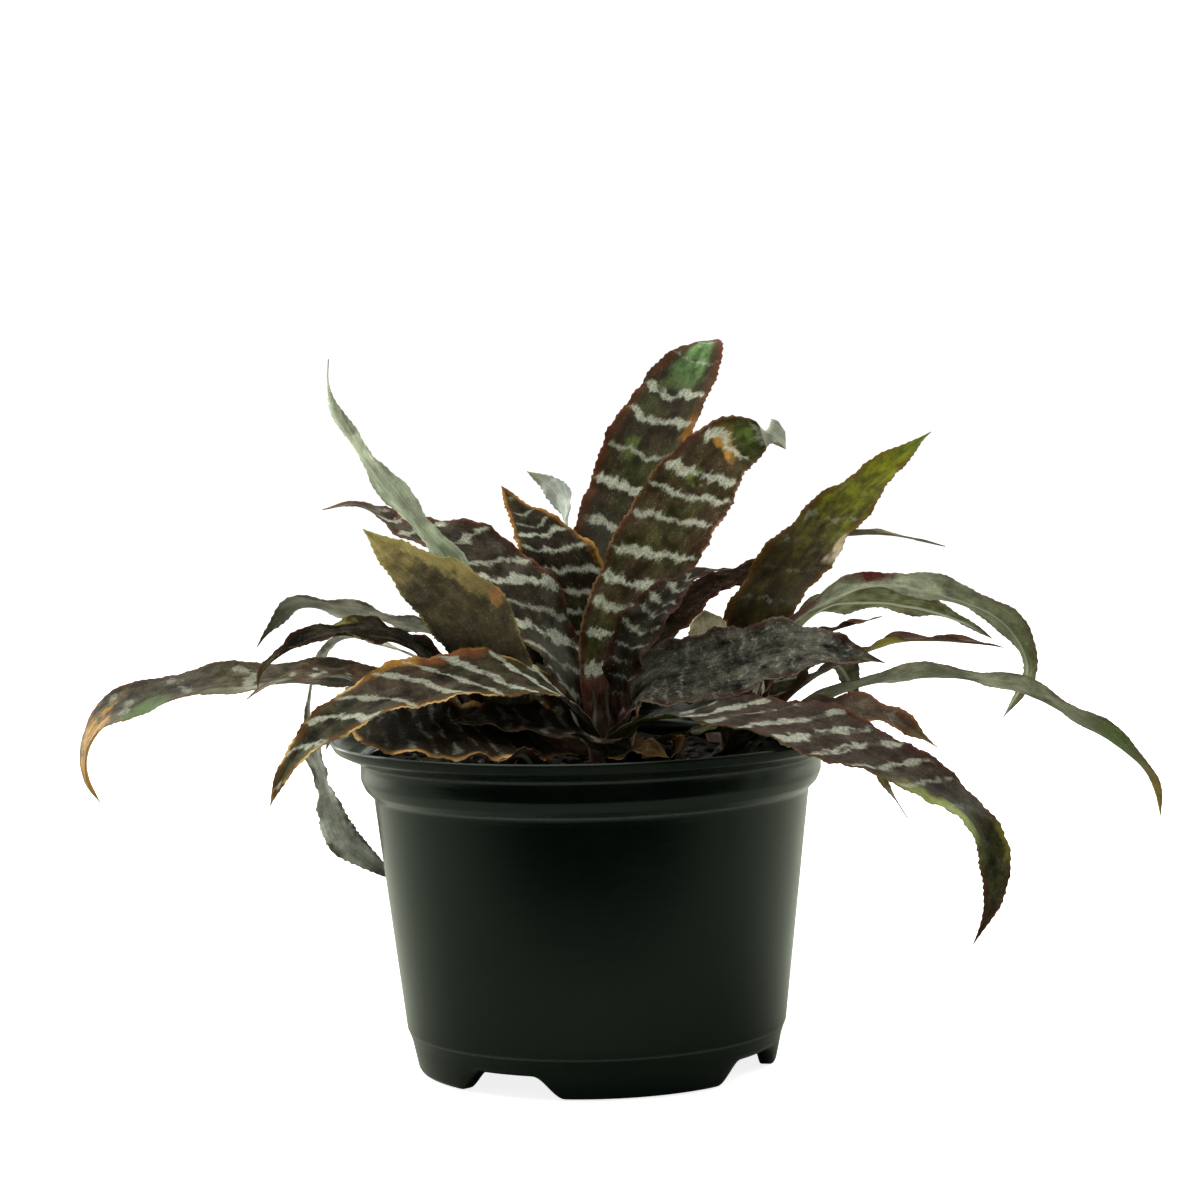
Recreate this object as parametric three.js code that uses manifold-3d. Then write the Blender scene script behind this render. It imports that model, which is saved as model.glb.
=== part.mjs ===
// Earth star bromeliad: three rosettes of wavy banded leaves in a plastic nursery pot.
// Millimetres, +Z up. Paths and profiles are given about the pot's axis, with the feet standing on z = 0.
import * as THREE from "three";
import { mergeVertices } from "three/addons/utils/BufferGeometryUtils.js";
import Module from "manifold-3d";

const wasm = await Module();
wasm.setup();

// The pot's axis from the part's origin, which lies under the middle of the leaves' spread.
const POT_AXIS = new THREE.Vector3(-10.3, -16.2, 0);

// Pot
const LIP_RADIUS = 86;
const LIP_HEIGHT = 111;
const BAND_RADIUS = 76;
const BAND_TOP = 104;
const BAND_FOOT = 97.4;
const WALL_TOP_RADIUS = 72.2;
const WALL_TOP = 92;
const STEP_RADIUS = 62.6;
const STEP_TOP = 13.5;
const SKIRT_RADIUS = 61.4;
const SKIRT_TOP = 10;
const FOOT_RADIUS = 58.6;
const FOOT_WIDTH = 4;
const WALL = 1.8;
const FLOOR_UNDER = 8;
const POT_SIDES = 48;
const NOTCH_HEIGHT = 7.2;
const NOTCH_HALF_TOP = 10;
const NOTCH_HALF_FOOT = 20;
const NOTCH_FIRST = -30;
const NOTCHES = 4;
const DRAIN_RADIUS = 5;
const DRAIN_RING = 38;
const DRAINS = 6;

// Soil and crowns
const SOIL_TOP = 100;
const SOIL_LUMP = 1;
const GAP = 0.3;
const STEM_FOOT = 88;
const STEM_RADIUS = 4.6;
const CROWN_TOP = 121;

// Leaves
const BLADE = 0.9;
const ROW_SPACING = 8;
const ACROSS = [-1, -0.55, 0, 0.55, 1];
const TOOTH = 0.45;

const CROWNS = {
  main: [4, 0],
  left: [-26, -6],
  right: [48, 14],
};

const BROWN = 0x3a2620;
const MAROON = 0x42201f;
const OLIVE = 0x4b4c22;
const SILVER_GREEN = 0x77836f;
const CHARCOAL = 0x2b2826;
const TAN = 0x8a6a3c;
const BLACK_GREEN = 0x141c18;
const PEAT = 0x17120f;
const PINK = 0x6b3a3a;

// Each leaf runs along its path of x, y, z and roll in degrees. A positive roll lifts the left margin,
// seen along the heading. Widest says how far along the leaf is widest, rise how late it widens and tip
// how late it narrows.
const LEAVES = {
  main_leaf_tall_back: {
    heading: 72, width: 28.5, widest: 0.5, tip: 4.2, color: BROWN,
    path: [[4, 6.8, 111, 0], [5, 20, 142, 0], [10.5, 33, 172, 0], [21.5, 46, 202, 0],
      [36.5, 59, 226, 0], [42.8, 67, 235.3, 0], [45.5, 78, 238, 0]],
  },
  main_leaf_tall_front: {
    heading: 78, width: 29.5, widest: 0.55, tip: 2.3, color: OLIVE,
    path: [[7.2, 5, 115, 0], [8, 7, 138, 0], [20.5, 10, 164, 0], [36.5, 14, 189, 0], [45.5, 16, 200, 0],
      [54, 17, 205.5, 20], [63, 15, 207.5, 35], [67.5, 12, 202, 0]],
  },
  main_leaf_broad: {
    heading: 98, width: 34, widest: 0.46, tip: 1.1, color: BROWN,
    path: [[-2, 5.6, 111, 0], [-6, 12, 136, 0], [-8, 17, 158, 0], [-11, 22, 169, 0], [-17, 31, 177, 0],
      [-24, 40, 184.5, 0], [-28, 46, 190.5, 0]],
  },
  main_leaf_arching: {
    heading: 176, width: 26, widest: 0.4, tip: 1.25, color: BROWN,
    path: [[-2.8, -0.6, 109, 0], [-9, -1, 133, -20], [-22, 0, 156, -42], [-39, 4, 172, -38],
      [-60, 5, 180, -25], [-75, 8, 187.5, -15], [-87, 12, 186, 0]],
  },
  main_leaf_dark: {
    heading: -10, width: 27, widest: 0.5, color: CHARCOAL,
    path: [[10.2, -1.6, 110, 0], [18, -4, 126, 25], [33, -9, 130, 40], [50, -13, 133, 40],
      [64, -15, 137, 38], [80, -16, 137, 30], [97, -16, 133, 20]],
  },
  main_leaf_small: {
    heading: 30, width: 16, widest: 0.45, color: BROWN,
    path: [[9.4, 0, 113, 0], [13, -4, 137, 20], [20, -5, 148, 30], [30, -4, 158, 20], [39, -3, 163, 0],
      [48, -2, 164, 0]],
  },
  main_leaf_strap: {
    heading: 32, width: 15, widest: 0.35, color: MAROON,
    path: [[9, 4.4, 108, 0], [20, 13, 132, 0], [36, 33, 149.5, 10], [57, 55, 159, 10], [81, 66, 168, 0],
      [104, 76, 169, 0], [127, 84, 163.5, 0]],
  },
  main_leaf_long_front: {
    heading: -35, width: 27, widest: 0.42, tip: 1.6, color: BROWN,
    path: [[8.4, -5.4, 106, 0], [16, -16, 115, 5], [30, -26, 118.5, 8], [46, -36, 119.5, 14],
      [66, -49, 116, 20], [83, -58, 110.5, 21], [96, -64, 104.5, 17], [107, -68, 99, 10],
      [116, -70.5, 92.5, 6], [122.5, -72, 84, 16], [125.3, -72, 73, 32], [124.5, -71.5, 62, 36],
      [118.5, -70, 48.5, 30]],
  },
  main_leaf_front_left: {
    heading: 206, width: 25, widest: 0.4, color: BROWN,
    path: [[-0.4, -6, 107, 0], [-6, -17, 122, -12], [-20, -28, 131, -26], [-40, -35, 133, -30],
      [-62, -41, 130, -30], [-83, -48, 120, -30], [-96, -53, 108, -28], [-102, -54, 96, -20]],
  },
  main_leaf_under: {
    heading: 222, width: 24, widest: 0.55, color: MAROON,
    path: [[6.2, -6.8, 102, 0], [6, -18, 108.5, 0], [-6, -29, 114.5, -22], [-26, -34, 119, -25],
      [-44, -42, 120, -15]],
  },
  main_leaf_silver_back: {
    heading: 105, width: 16, widest: 0.6, color: SILVER_GREEN,
    path: [[0.5, 9.4, 108, 0], [-1.5, 31, 138, 0], [-5, 50, 163, 40], [-7.5, 62, 183, 100],
      [-12.5, 70, 189.5, 130], [-19.6, 76, 193.5, 150]],
  },
  main_leaf_low_tip: {
    heading: -28, width: 11, widest: 0.4, color: OLIVE,
    path: [[10, -3.5, 104, 0], [38, -17, 112, 0], [70, -37, 114, 0], [85, -44, 108, 0],
      [94, -46, 97, 0], [101, -46, 86, 0]],
  },
  main_leaf_rear: {
    heading: 86, width: 25, widest: 0.5, color: BROWN,
    path: [[7, 7.4, 102, 0], [8, 38, 119, 0], [9, 70, 125, 10], [11, 98, 117, 5], [13, 118, 98, 0]],
  },
  main_leaf_rear_left: {
    heading: 122, width: 23, widest: 0.5, color: BROWN,
    path: [[-3, 4.6, 102, 0], [-15, 34, 116, 0], [-30, 62, 122, -10], [-42, 86, 113, 0],
      [-49, 99, 96, 0]],
  },
  left_leaf_upright: {
    heading: 168, width: 15.5, widest: 0.6, base: 0.25, rise: 3.5, tip: 1.15, color: SILVER_GREEN,
    path: [[-26, 1.8, 111, 20], [-30, 0.6, 130, 25], [-35, -10, 154, 32], [-43.5, -16, 169, 36],
      [-61, -17, 190, 44], [-73.5, -15, 208, 44], [-80.5, -13, 220, 40], [-82, -13, 229, 35],
      [-81.5, -13, 236, 30]],
  },
  left_leaf_olive: {
    heading: 200, width: 24, widest: 0.46, tip: 1.6, color: OLIVE,
    path: [[-29.6, -11.3, 111, 10], [-31, -13, 130, 40], [-38.5, -17, 150.5, 60], [-47, -22, 160, 60],
      [-57, -27, 168.5, 55], [-71, -34, 182, 50]],
  },
  left_leaf_grey: {
    heading: 178, width: 14, widest: 0.7, base: 0.3, rise: 3, color: SILVER_GREEN,
    path: [[-31.6, -2.4, 111, 10], [-36, 6, 130, 15], [-45, 11, 140.5, 20], [-60, 13, 146.5, 25],
      [-80, 12, 151.5, 25], [-96, 10, 154, 25], [-106, 8, 146, 25], [-110, 7, 141, 25]],
  },
  left_leaf_toothed: {
    heading: 185, width: 20, widest: 0.6, color: CHARCOAL,
    path: [[-32.6, -7, 106, -5], [-42, -4, 123, -8], [-56, -2, 139.5, -13], [-73, -2, 145.5, -13],
      [-91, -4, 144.5, -10], [-107, -6, 135, -10], [-109, -7, 129, -10]],
  },
  left_leaf_long: {
    heading: 177, width: 23, widest: 0.6, tip: 1.6, color: BROWN,
    path: [[-32, -4.6, 103, 0], [-46, 4, 120, -10], [-68, 6, 129, -15], [-95, 6, 130.5, -18],
      [-119, 6, 129.5, -18], [-147, 8, 124, -22], [-161.5, 9, 117.5, -22], [-168, 9, 107, -20],
      [-168, 9, 98, -15], [-164, 9, 89.5, -10]],
  },
  left_leaf_mottled: {
    heading: 186, width: 14, widest: 0.5, color: BROWN,
    path: [[-31, -9.6, 103, 0], [-48, -16, 121, -10], [-67, -17, 130, -15], [-88, -17, 134, -15],
      [-104, -15, 131, -10], [-112, -14, 126, 0]],
  },
  left_leaf_hanging: {
    heading: 160, width: 11.5, widest: 0.84, base: 0.28, rise: 13, tip: 1.5, color: SILVER_GREEN,
    path: [[-29.2, 0.2, 107, 0], [-44, 18, 125, 0], [-66, 29, 138, 0], [-82, 33, 141, 0],
      [-91, 34, 134, 0], [-95.4, 35, 119, 5], [-94, 36, 102, 0], [-91.5, 36.5, 91, 5],
      [-89, 37.5, 82, 30], [-85.5, 40, 72, 40], [-78, 44, 64, 40], [-66, 48, 54, 35]],
  },
  left_leaf_rear: {
    heading: 132, width: 22, widest: 0.5, color: BROWN,
    path: [[-24.4, 1.4, 101.8, 0], [-41, 26, 113, 0], [-65, 49, 122, 0], [-83, 73, 114, 0],
      [-94, 87, 96, 0]],
  },
  right_leaf_olive: {
    heading: 58, width: 27, widest: 0.46, tip: 1.75, color: OLIVE,
    path: [[50.4, 20, 112, 0], [53, 25, 134, 0], [64, 30, 153, 0], [85, 40, 176, 0], [105, 50, 194, 0],
      [120, 57, 205, 0]],
  },
  right_leaf_curled: {
    heading: 10, width: 17, widest: 0.62, color: SILVER_GREEN,
    path: [[54, 14.6, 111, 0], [61, 14, 134, -15], [71, 14, 146, -24], [95, 18, 156, -26],
      [119, 20, 152, -26], [140, 20, 142, -24], [148, 18, 126, -20], [139, 16, 110, -10]],
  },
  right_leaf_midrib: {
    heading: 20, width: 22, widest: 0.42, tip: 1.35, color: SILVER_GREEN,
    path: [[53, 18.4, 108, 0], [64, 29, 131, -20], [80, 39, 146.5, -30], [97, 43, 148, -32],
      [115, 46, 145, -32], [128, 47, 140.5, -25], [139, 47, 134, -20]],
  },
  right_leaf_red: {
    heading: -8, width: 12, widest: 0.5, color: MAROON,
    path: [[53.8, 7.8, 105.8, 0], [70, 4.4, 123.4, 0], [90, 4, 134, 0], [104, 5, 138, 0],
      [127, 6, 137, 0], [138, 6, 135, 0]],
  },
  right_leaf_long: {
    heading: -3, width: 18, widest: 0.5, color: SILVER_GREEN,
    path: [[52, 6.6, 102, 0], [68, 0, 115, -8], [92, -4, 125, -17], [114, -4, 127, -18],
      [138, -2, 123, -18], [157, 2, 114, -18], [174, 4, 103, -18], [187, 6, 90, -15],
      [190, 6, 77, -10]],
  },
  right_leaf_low: {
    heading: -30, width: 17, widest: 0.55, color: MAROON,
    path: [[47.4, 6, 102, 0], [58, -11, 113, 0], [80, -26, 120, 15], [98, -31, 116, 20],
      [112, -33, 107, 10]],
  },
  right_leaf_strip: {
    heading: 2, width: 9, widest: 0.5, color: MAROON,
    path: [[55.4, 11, 110, 0], [63, 7, 129, 0], [76, 7, 140, 0], [98, 9, 146, 0]],
  },
  right_leaf_short: {
    heading: 96, width: 14, widest: 0.7, tip: 3.5, color: TAN,
    path: [[42.8, 17.3, 109, 0], [41.5, 21.5, 128, 0], [40.5, 20.5, 141, 0], [39.5, 18, 148.5, 0]],
  },
  right_leaf_rear_right: {
    heading: 62, width: 23, widest: 0.5, color: BROWN,
    path: [[51.5, 20, 103, 0], [63, 46, 119, 0], [79, 78, 127, 0], [92, 104, 118, 0],
      [97, 114, 104, 0]],
  },
  right_leaf_rear: {
    heading: 92, width: 21, widest: 0.5, color: BROWN,
    path: [[46, 20.4, 103, 0], [43, 50, 116, 0], [41, 82, 119, 0], [39, 104, 104, 0], [38, 112, 90, 0]],
  },
  dead_leaf_rim: {
    heading: 190, width: 29, widest: 0.6, tip: 3.2, color: TAN,
    path: [[-8, -26, 108, -10], [-24, -35, 113, -30], [-44, -40, 116, -35], [-62, -39, 118, -35],
      [-77, -33, 118, -30]],
  },
  dead_leaf_curl: {
    heading: 250, width: 10, widest: 0.5, color: TAN,
    path: [[-20, -20, 102, 0], [-19, -40, 103, 10], [-18, -56, 106, 20], [-22, -66, 112, 40],
      [-29, -67, 110, 60]],
  },
  dead_leaf_scrap: {
    heading: -62, width: 11, widest: 0.6, color: TAN,
    path: [[15, -15, 102, 0], [12, -28, 104, 10], [11, -41, 108, 25], [18, -49, 111, 35],
      [25, -52, 108, 20]],
  },
  dead_leaf_twist: {
    heading: -60, width: 11, widest: 0.6, color: TAN,
    path: [[18, -12, 102, 10], [24, -26, 104.5, 30], [27, -38, 107.5, 60], [29, -44, 112, 70],
      [32, -45, 116, 40]],
  },
};

const radians = THREE.MathUtils.degToRad;

function solidOf(geometry) {
  const bare = geometry.clone();
  bare.deleteAttribute("normal");
  bare.deleteAttribute("uv");
  const merged = mergeVertices(bare, 1e-4);
  return new wasm.Manifold(new wasm.Mesh({
    numProp: 3,
    vertProperties: new Float32Array(merged.attributes.position.array),
    triVerts: new Uint32Array(merged.index.array),
  }));
}

function geometryOf(solid) {
  const mesh = solid.getMesh();
  const geometry = new THREE.BufferGeometry();
  geometry.setAttribute("position", new THREE.BufferAttribute(new Float32Array(mesh.vertProperties), 3));
  geometry.setIndex(new THREE.BufferAttribute(new Uint32Array(mesh.triVerts), 1));
  return geometry;
}

function named(name, geometry, color, roughness) {
  const faceted = geometry.index ? geometry.toNonIndexed() : geometry;
  faceted.computeVertexNormals();
  const mesh = new THREE.Mesh(faceted, new THREE.MeshStandardMaterial({ color, roughness, metalness: 0 }));
  mesh.name = name;
  return mesh;
}

// A lathe about +Z, from a profile of radius and height.
function turned(profile, sides) {
  const points = profile.map(([radius, height]) => new THREE.Vector2(radius, height));
  return new THREE.LatheGeometry(points, sides).rotateX(Math.PI / 2);
}

// How wide a leaf is at a share of its length, as a share of its greatest width.
function widthShare(along, { widest, base = 0.28, rise = 1.6, tip = 1.75 }) {
  if (along < widest) return base + (1 - base) * Math.sin((along / widest) * Math.PI / 2) ** rise;
  const fall = (along - widest) / (1 - widest);
  return Math.max(1 - fall ** tip, 0);
}

function rollAt(keys, place) {
  const first = Math.min(Math.floor(place), keys.length - 2);
  const step = place - first;
  const eased = step * step * (3 - 2 * step);
  return radians(keys[first] + (keys[first + 1] - keys[first]) * eased);
}

// One thin blade: rows of five points across, a top and an under face split alike, and a rim round them.
function bladeGeometry(leaf) {
  const { heading, width, cup = 0.16, ruffle = 1.3, ruffles = 5, phase = 0 } = leaf;
  const curve = new THREE.CatmullRomCurve3(leaf.path.map(([x, y, z]) => new THREE.Vector3(x, y, z)));
  const rolls = leaf.path.map(([, , , roll]) => roll);
  const level = new THREE.Vector3(-Math.sin(radians(heading)), Math.cos(radians(heading)), 0);
  const rows = Math.max(4, Math.round(curve.getLength() / ROW_SPACING));
  const top = [];
  const under = [];
  for (let row = 0; row <= rows; row++) {
    const along = row / rows;
    const middle = curve.getPointAt(along);
    const forward = curve.getTangentAt(along);
    const flat = level.clone().addScaledVector(forward, -level.dot(forward)).normalize();
    const lift = new THREE.Vector3().crossVectors(forward, flat);
    const roll = rollAt(rolls, curve.getUtoTmapping(along) * (rolls.length - 1));
    const side = flat.clone().multiplyScalar(Math.cos(roll)).addScaledVector(lift, Math.sin(roll));
    const normal = new THREE.Vector3().crossVectors(forward, side);
    const tooth = row % 2 ? TOOTH : -TOOTH;
    const half = Math.max((width / 2) * widthShare(along, leaf) + (row < rows ? tooth : 0), 0.6);
    const calm = Math.sin(Math.PI * along) ** 0.6;
    for (const across of ACROSS) {
      const swing = Math.sin(2 * Math.PI * ruffles * along + phase + (across < 0 ? 2.1 : 0));
      const rise = cup * half * across ** 2 + ruffle * calm * across ** 2 * swing;
      const point = middle.clone().addScaledVector(side, half * across).addScaledVector(normal, rise);
      top.push(point.clone().addScaledVector(normal, BLADE / 2));
      under.push(point.clone().addScaledVector(normal, -BLADE / 2));
    }
  }
  return closedSheet(top, under, rows, ACROSS.length);
}

function closedSheet(top, under, rows, columns) {
  const shift = top.length;
  const faces = [];
  const quad = (a, b, c, d) => faces.push(a, b, c, a, c, d);
  for (let row = 0; row < rows; row++) {
    for (let column = 0; column < columns - 1; column++) {
      const a = row * columns + column;
      const b = a + columns;
      quad(a, b, b + 1, a + 1);
      faces.push(shift + a, shift + b + 1, shift + b, shift + a, shift + a + 1, shift + b + 1);
    }
    const left = row * columns;
    const right = left + columns - 1;
    quad(left, shift + left, shift + left + columns, left + columns);
    quad(right, right + columns, shift + right + columns, shift + right);
  }
  const last = rows * columns;
  for (let column = 0; column < columns - 1; column++) {
    quad(column, column + 1, shift + column + 1, shift + column);
    quad(last + column, shift + last + column, shift + last + column + 1, last + column + 1);
  }
  const geometry = new THREE.BufferGeometry();
  const corners = [...top, ...under].flatMap((point) => point.toArray());
  geometry.setAttribute("position", new THREE.Float32BufferAttribute(corners, 3));
  geometry.setIndex(faces);
  return geometry;
}

function potProfile() {
  const inside = WALL_TOP_RADIUS - WALL;
  return [
    [0, FLOOR_UNDER],
    [FOOT_RADIUS - FOOT_WIDTH, FLOOR_UNDER],
    [FOOT_RADIUS - FOOT_WIDTH, 0],
    [FOOT_RADIUS, 0],
    [FOOT_RADIUS + 0.9, 1],
    [SKIRT_RADIUS, SKIRT_TOP],
    [STEP_RADIUS, STEP_TOP],
    [WALL_TOP_RADIUS - 0.4, WALL_TOP - 1],
    [WALL_TOP_RADIUS, WALL_TOP],
    [BAND_RADIUS - 1.4, WALL_TOP + 2.2],
    [BAND_RADIUS, BAND_FOOT],
    [BAND_RADIUS, BAND_TOP - 0.6],
    [BAND_RADIUS + 1.2, BAND_TOP],
    [LIP_RADIUS - 5, BAND_TOP + 1.8],
    [LIP_RADIUS - 1.6, LIP_HEIGHT - 3.6],
    [LIP_RADIUS, LIP_HEIGHT - 0.8],
    [LIP_RADIUS - 0.8, LIP_HEIGHT],
    [LIP_RADIUS - 3.2, LIP_HEIGHT - 2.6],
    [LIP_RADIUS - 6.4, LIP_HEIGHT - 4.8],
    [BAND_RADIUS - 0.6, BAND_TOP + 1.6],
    [BAND_RADIUS - WALL, BAND_TOP],
    [BAND_RADIUS - WALL, BAND_FOOT + 0.6],
    [inside, WALL_TOP],
    [STEP_RADIUS - WALL, STEP_TOP],
    [SKIRT_RADIUS - WALL, FLOOR_UNDER + WALL],
    [0, FLOOR_UNDER + WALL],
  ];
}

// A wedge that widens downwards, to cut one notch in the foot ring.
function notchGeometry(angle) {
  const outline = new THREE.Shape([
    new THREE.Vector2(-NOTCH_HALF_FOOT, -1),
    new THREE.Vector2(NOTCH_HALF_FOOT, -1),
    new THREE.Vector2(NOTCH_HALF_TOP, NOTCH_HEIGHT),
    new THREE.Vector2(-NOTCH_HALF_TOP, NOTCH_HEIGHT),
  ]);
  const reach = 16;
  return new THREE.ExtrudeGeometry(outline, { depth: reach, bevelEnabled: false })
    .translate(0, 0, -reach / 2)
    .rotateX(Math.PI / 2)
    .rotateZ(Math.PI / 2)
    .translate(FOOT_RADIUS, 0, 0)
    .rotateZ(radians(angle));
}

function pot() {
  let solid = solidOf(turned(potProfile(), POT_SIDES));
  for (let i = 0; i < NOTCHES; i++) {
    const angle = NOTCH_FIRST - 90 + (360 * i) / NOTCHES;
    solid = solid.subtract(solidOf(notchGeometry(angle)));
  }
  for (let i = 0; i < DRAINS; i++) {
    const turn = (2 * Math.PI * i) / DRAINS;
    const drain = new THREE.CylinderGeometry(DRAIN_RADIUS, DRAIN_RADIUS, 12, 12)
      .rotateX(Math.PI / 2)
      .translate(DRAIN_RING * Math.cos(turn), DRAIN_RING * Math.sin(turn), FLOOR_UNDER + 1);
    solid = solid.subtract(solidOf(drain));
  }
  return named("pot", geometryOf(solid), BLACK_GREEN, 0.4);
}

function soilLump(x, y) {
  const broad = Math.sin(x / 7 + y / 11) * Math.cos(y / 6 - x / 17);
  const close = Math.sin(x / 3.7 - y / 4.3);
  return SOIL_LUMP * (broad + 0.5 * close);
}

function soil() {
  const inside = WALL_TOP_RADIUS - WALL - GAP;
  const foot = FLOOR_UNDER + WALL + GAP;
  const bandInside = BAND_RADIUS - WALL - GAP;
  const profile = [
    [0, foot],
    [SKIRT_RADIUS - WALL - GAP - 0.1, foot],
    [STEP_RADIUS - WALL - GAP, STEP_TOP],
    [inside, WALL_TOP + 0.3],
    [bandInside, BAND_FOOT + 1.2],
    [bandInside - 0.2, SOIL_TOP],
    [60, SOIL_TOP],
    [45, SOIL_TOP],
    [30, SOIL_TOP],
    [15, SOIL_TOP],
    [0, SOIL_TOP],
  ];
  const body = turned(profile, 40);
  const places = body.attributes.position;
  for (let i = 0; i < places.count; i++) {
    const x = places.getX(i);
    const y = places.getY(i);
    const inner = Math.hypot(x, y) < bandInside - 1;
    if (inner && places.getZ(i) > SOIL_TOP - 0.01) places.setZ(i, SOIL_TOP + soilLump(x, y));
  }
  let solid = solidOf(body);
  for (const [x, y] of Object.values(CROWNS)) {
    const hole = new THREE.CylinderGeometry(STEM_RADIUS + GAP, STEM_RADIUS + GAP, 30, 12)
      .rotateX(Math.PI / 2)
      .translate(x, y, STEM_FOOT - GAP + 15);
    solid = solid.subtract(solidOf(hole));
  }
  return named("soil", geometryOf(solid), PEAT, 1);
}

// A short stem with four young leaves standing up from its top.
function crown(name, [x, y]) {
  const stem = turned([
    [0, STEM_FOOT],
    [STEM_RADIUS, STEM_FOOT],
    [STEM_RADIUS, 108],
    [STEM_RADIUS - 1, 114],
    [STEM_RADIUS - 2.6, CROWN_TOP - 2],
    [0, CROWN_TOP],
  ], 12).translate(x, y, 0);
  let solid = solidOf(stem);
  for (let i = 0; i < 4; i++) {
    const heading = 45 + 90 * i;
    const out = [Math.cos(radians(heading)), Math.sin(radians(heading))];
    const young = {
      heading, width: 4.6, widest: 0.4, ruffle: 0, cup: 0.3, color: PINK,
      path: [[0.5, 110, 0], [1.2, 117, 0], [2.2, 123, 0], [3.4, 128, 0]].map(([away, height, roll]) => [
        x + away * out[0], y + away * out[1], height, roll,
      ]),
    };
    solid = solid.add(solidOf(bladeGeometry(young)));
  }
  return named(name, geometryOf(solid), PINK, 0.6);
}

const plant = new THREE.Group();
plant.add(pot(), soil());
for (const [name, place] of Object.entries(CROWNS)) plant.add(crown(`crown_${name}`, place));
for (const [name, leaf] of Object.entries(LEAVES)) {
  plant.add(named(name, bladeGeometry(leaf), leaf.color, 0.6));
}
plant.position.copy(POT_AXIS);

const part = new THREE.Group();
part.add(plant);

export default part;
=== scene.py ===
import math
from types import SimpleNamespace

import bpy
import numpy as np
from mathutils import Matrix, Vector


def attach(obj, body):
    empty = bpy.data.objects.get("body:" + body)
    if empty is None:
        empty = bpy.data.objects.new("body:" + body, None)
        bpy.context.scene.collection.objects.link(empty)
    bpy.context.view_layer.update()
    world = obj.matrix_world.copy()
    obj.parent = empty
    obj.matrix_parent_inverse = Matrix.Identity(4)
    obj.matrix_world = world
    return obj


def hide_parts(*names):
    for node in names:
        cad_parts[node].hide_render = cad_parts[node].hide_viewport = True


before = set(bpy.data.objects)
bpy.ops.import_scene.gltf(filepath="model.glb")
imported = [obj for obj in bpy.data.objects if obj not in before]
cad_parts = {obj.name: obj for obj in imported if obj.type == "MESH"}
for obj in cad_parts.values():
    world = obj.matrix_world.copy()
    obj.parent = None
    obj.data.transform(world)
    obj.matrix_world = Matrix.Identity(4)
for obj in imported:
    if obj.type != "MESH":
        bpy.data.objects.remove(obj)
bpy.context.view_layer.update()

MM = 0.001
TURN = 6.283  # one full turn, rounded, as the seeded draws use it
POT_AXIS = np.array([-10.3, -16.2, 0.0])
RNG = np.random.default_rng(11)

# The pot's driving sizes, in millimetres.
LIP_RADIUS, LIP_HEIGHT = 86.0, 111.0
BAND_RADIUS, BAND_TOP, BAND_FOOT = 76.0, 104.0, 97.4
WALL_TOP_RADIUS, WALL_TOP = 72.2, 92.0
STEP_RADIUS, STEP_TOP = 62.6, 13.5
SKIRT_RADIUS, SKIRT_TOP = 61.4, 10.0
FOOT_RADIUS, FOOT_WIDTH = 58.6, 4.0
WALL, FLOOR_UNDER = 1.8, 8.0
FLOOR_TOP = FLOOR_UNDER + WALL
NOTCHES, NOTCH_HEIGHT, NOTCH_HALF_TOP, NOTCH_HALF_FOOT, NOTCH_FIRST = 4, 7.2, 10.0, 20.0, -30.0
DRAINS, DRAIN_NEAR, DRAIN_FAR, DRAIN_HALF_SHARE = 6, 34.0, 42.0, 0.12
SOIL_TOP = 100.0

# Where each crown stands in the pot, and the height of its stem's foot.
CROWNS = {"main": (4.0, 0.0), "left": (-26.0, -6.0), "right": (48.0, 14.0)}
STEM_FOOT = 88.0


# ---------------------------------------------------------------- meshes

def add_mesh(name, verts, faces, crease):
    """A smooth mesh from millimetres in the pot's frame, sharp where it bends by over crease degrees."""
    mesh = bpy.data.meshes.new(name)
    mesh.from_pydata(((np.asarray(verts, float) + POT_AXIS) * MM).tolist(), [], faces)
    mesh.update()
    mesh.polygons.foreach_set("use_smooth", [True] * len(mesh.polygons))
    mesh.set_sharp_from_angle(angle=math.radians(crease))
    obj = bpy.data.objects.new(name, mesh)
    bpy.context.scene.collection.objects.link(obj)
    return obj


def give(obj, name, values):
    """A vector attribute on the mesh's points."""
    attribute = obj.data.attributes.new(name, "FLOAT_VECTOR", "POINT")
    attribute.data.foreach_set("vector", np.asarray(values, np.float32).ravel())


def round_angles(sides):
    return np.arange(sides) * 2 * np.pi / sides


def wave_noise(x, seed):
    """A smooth wandering value between about -1 and 1 along x."""
    rng = np.random.default_rng(seed)
    total = np.zeros_like(np.asarray(x, float))
    for k in range(4):
        total += math.pow(0.62, k) * np.sin(x * (1.0 + 0.87 * k + 0.3 * rng.random()) + rng.random() * TURN)
    return total / 1.9


def ground_noise(x, y, seed, octaves, base):
    """A sum of plane waves in seeded directions, each octave finer and weaker than the last."""
    rng = np.random.default_rng(seed)
    total = np.zeros_like(x, float)
    for k in range(octaves):
        f = base * 1.9 ** k
        for _ in range(3):
            a = rng.random() * TURN
            wave = f * TURN * (x * math.cos(a) + y * math.sin(a))
            total += 0.6 ** k * np.sin(wave + rng.random() * TURN) / 3
    return total


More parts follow.
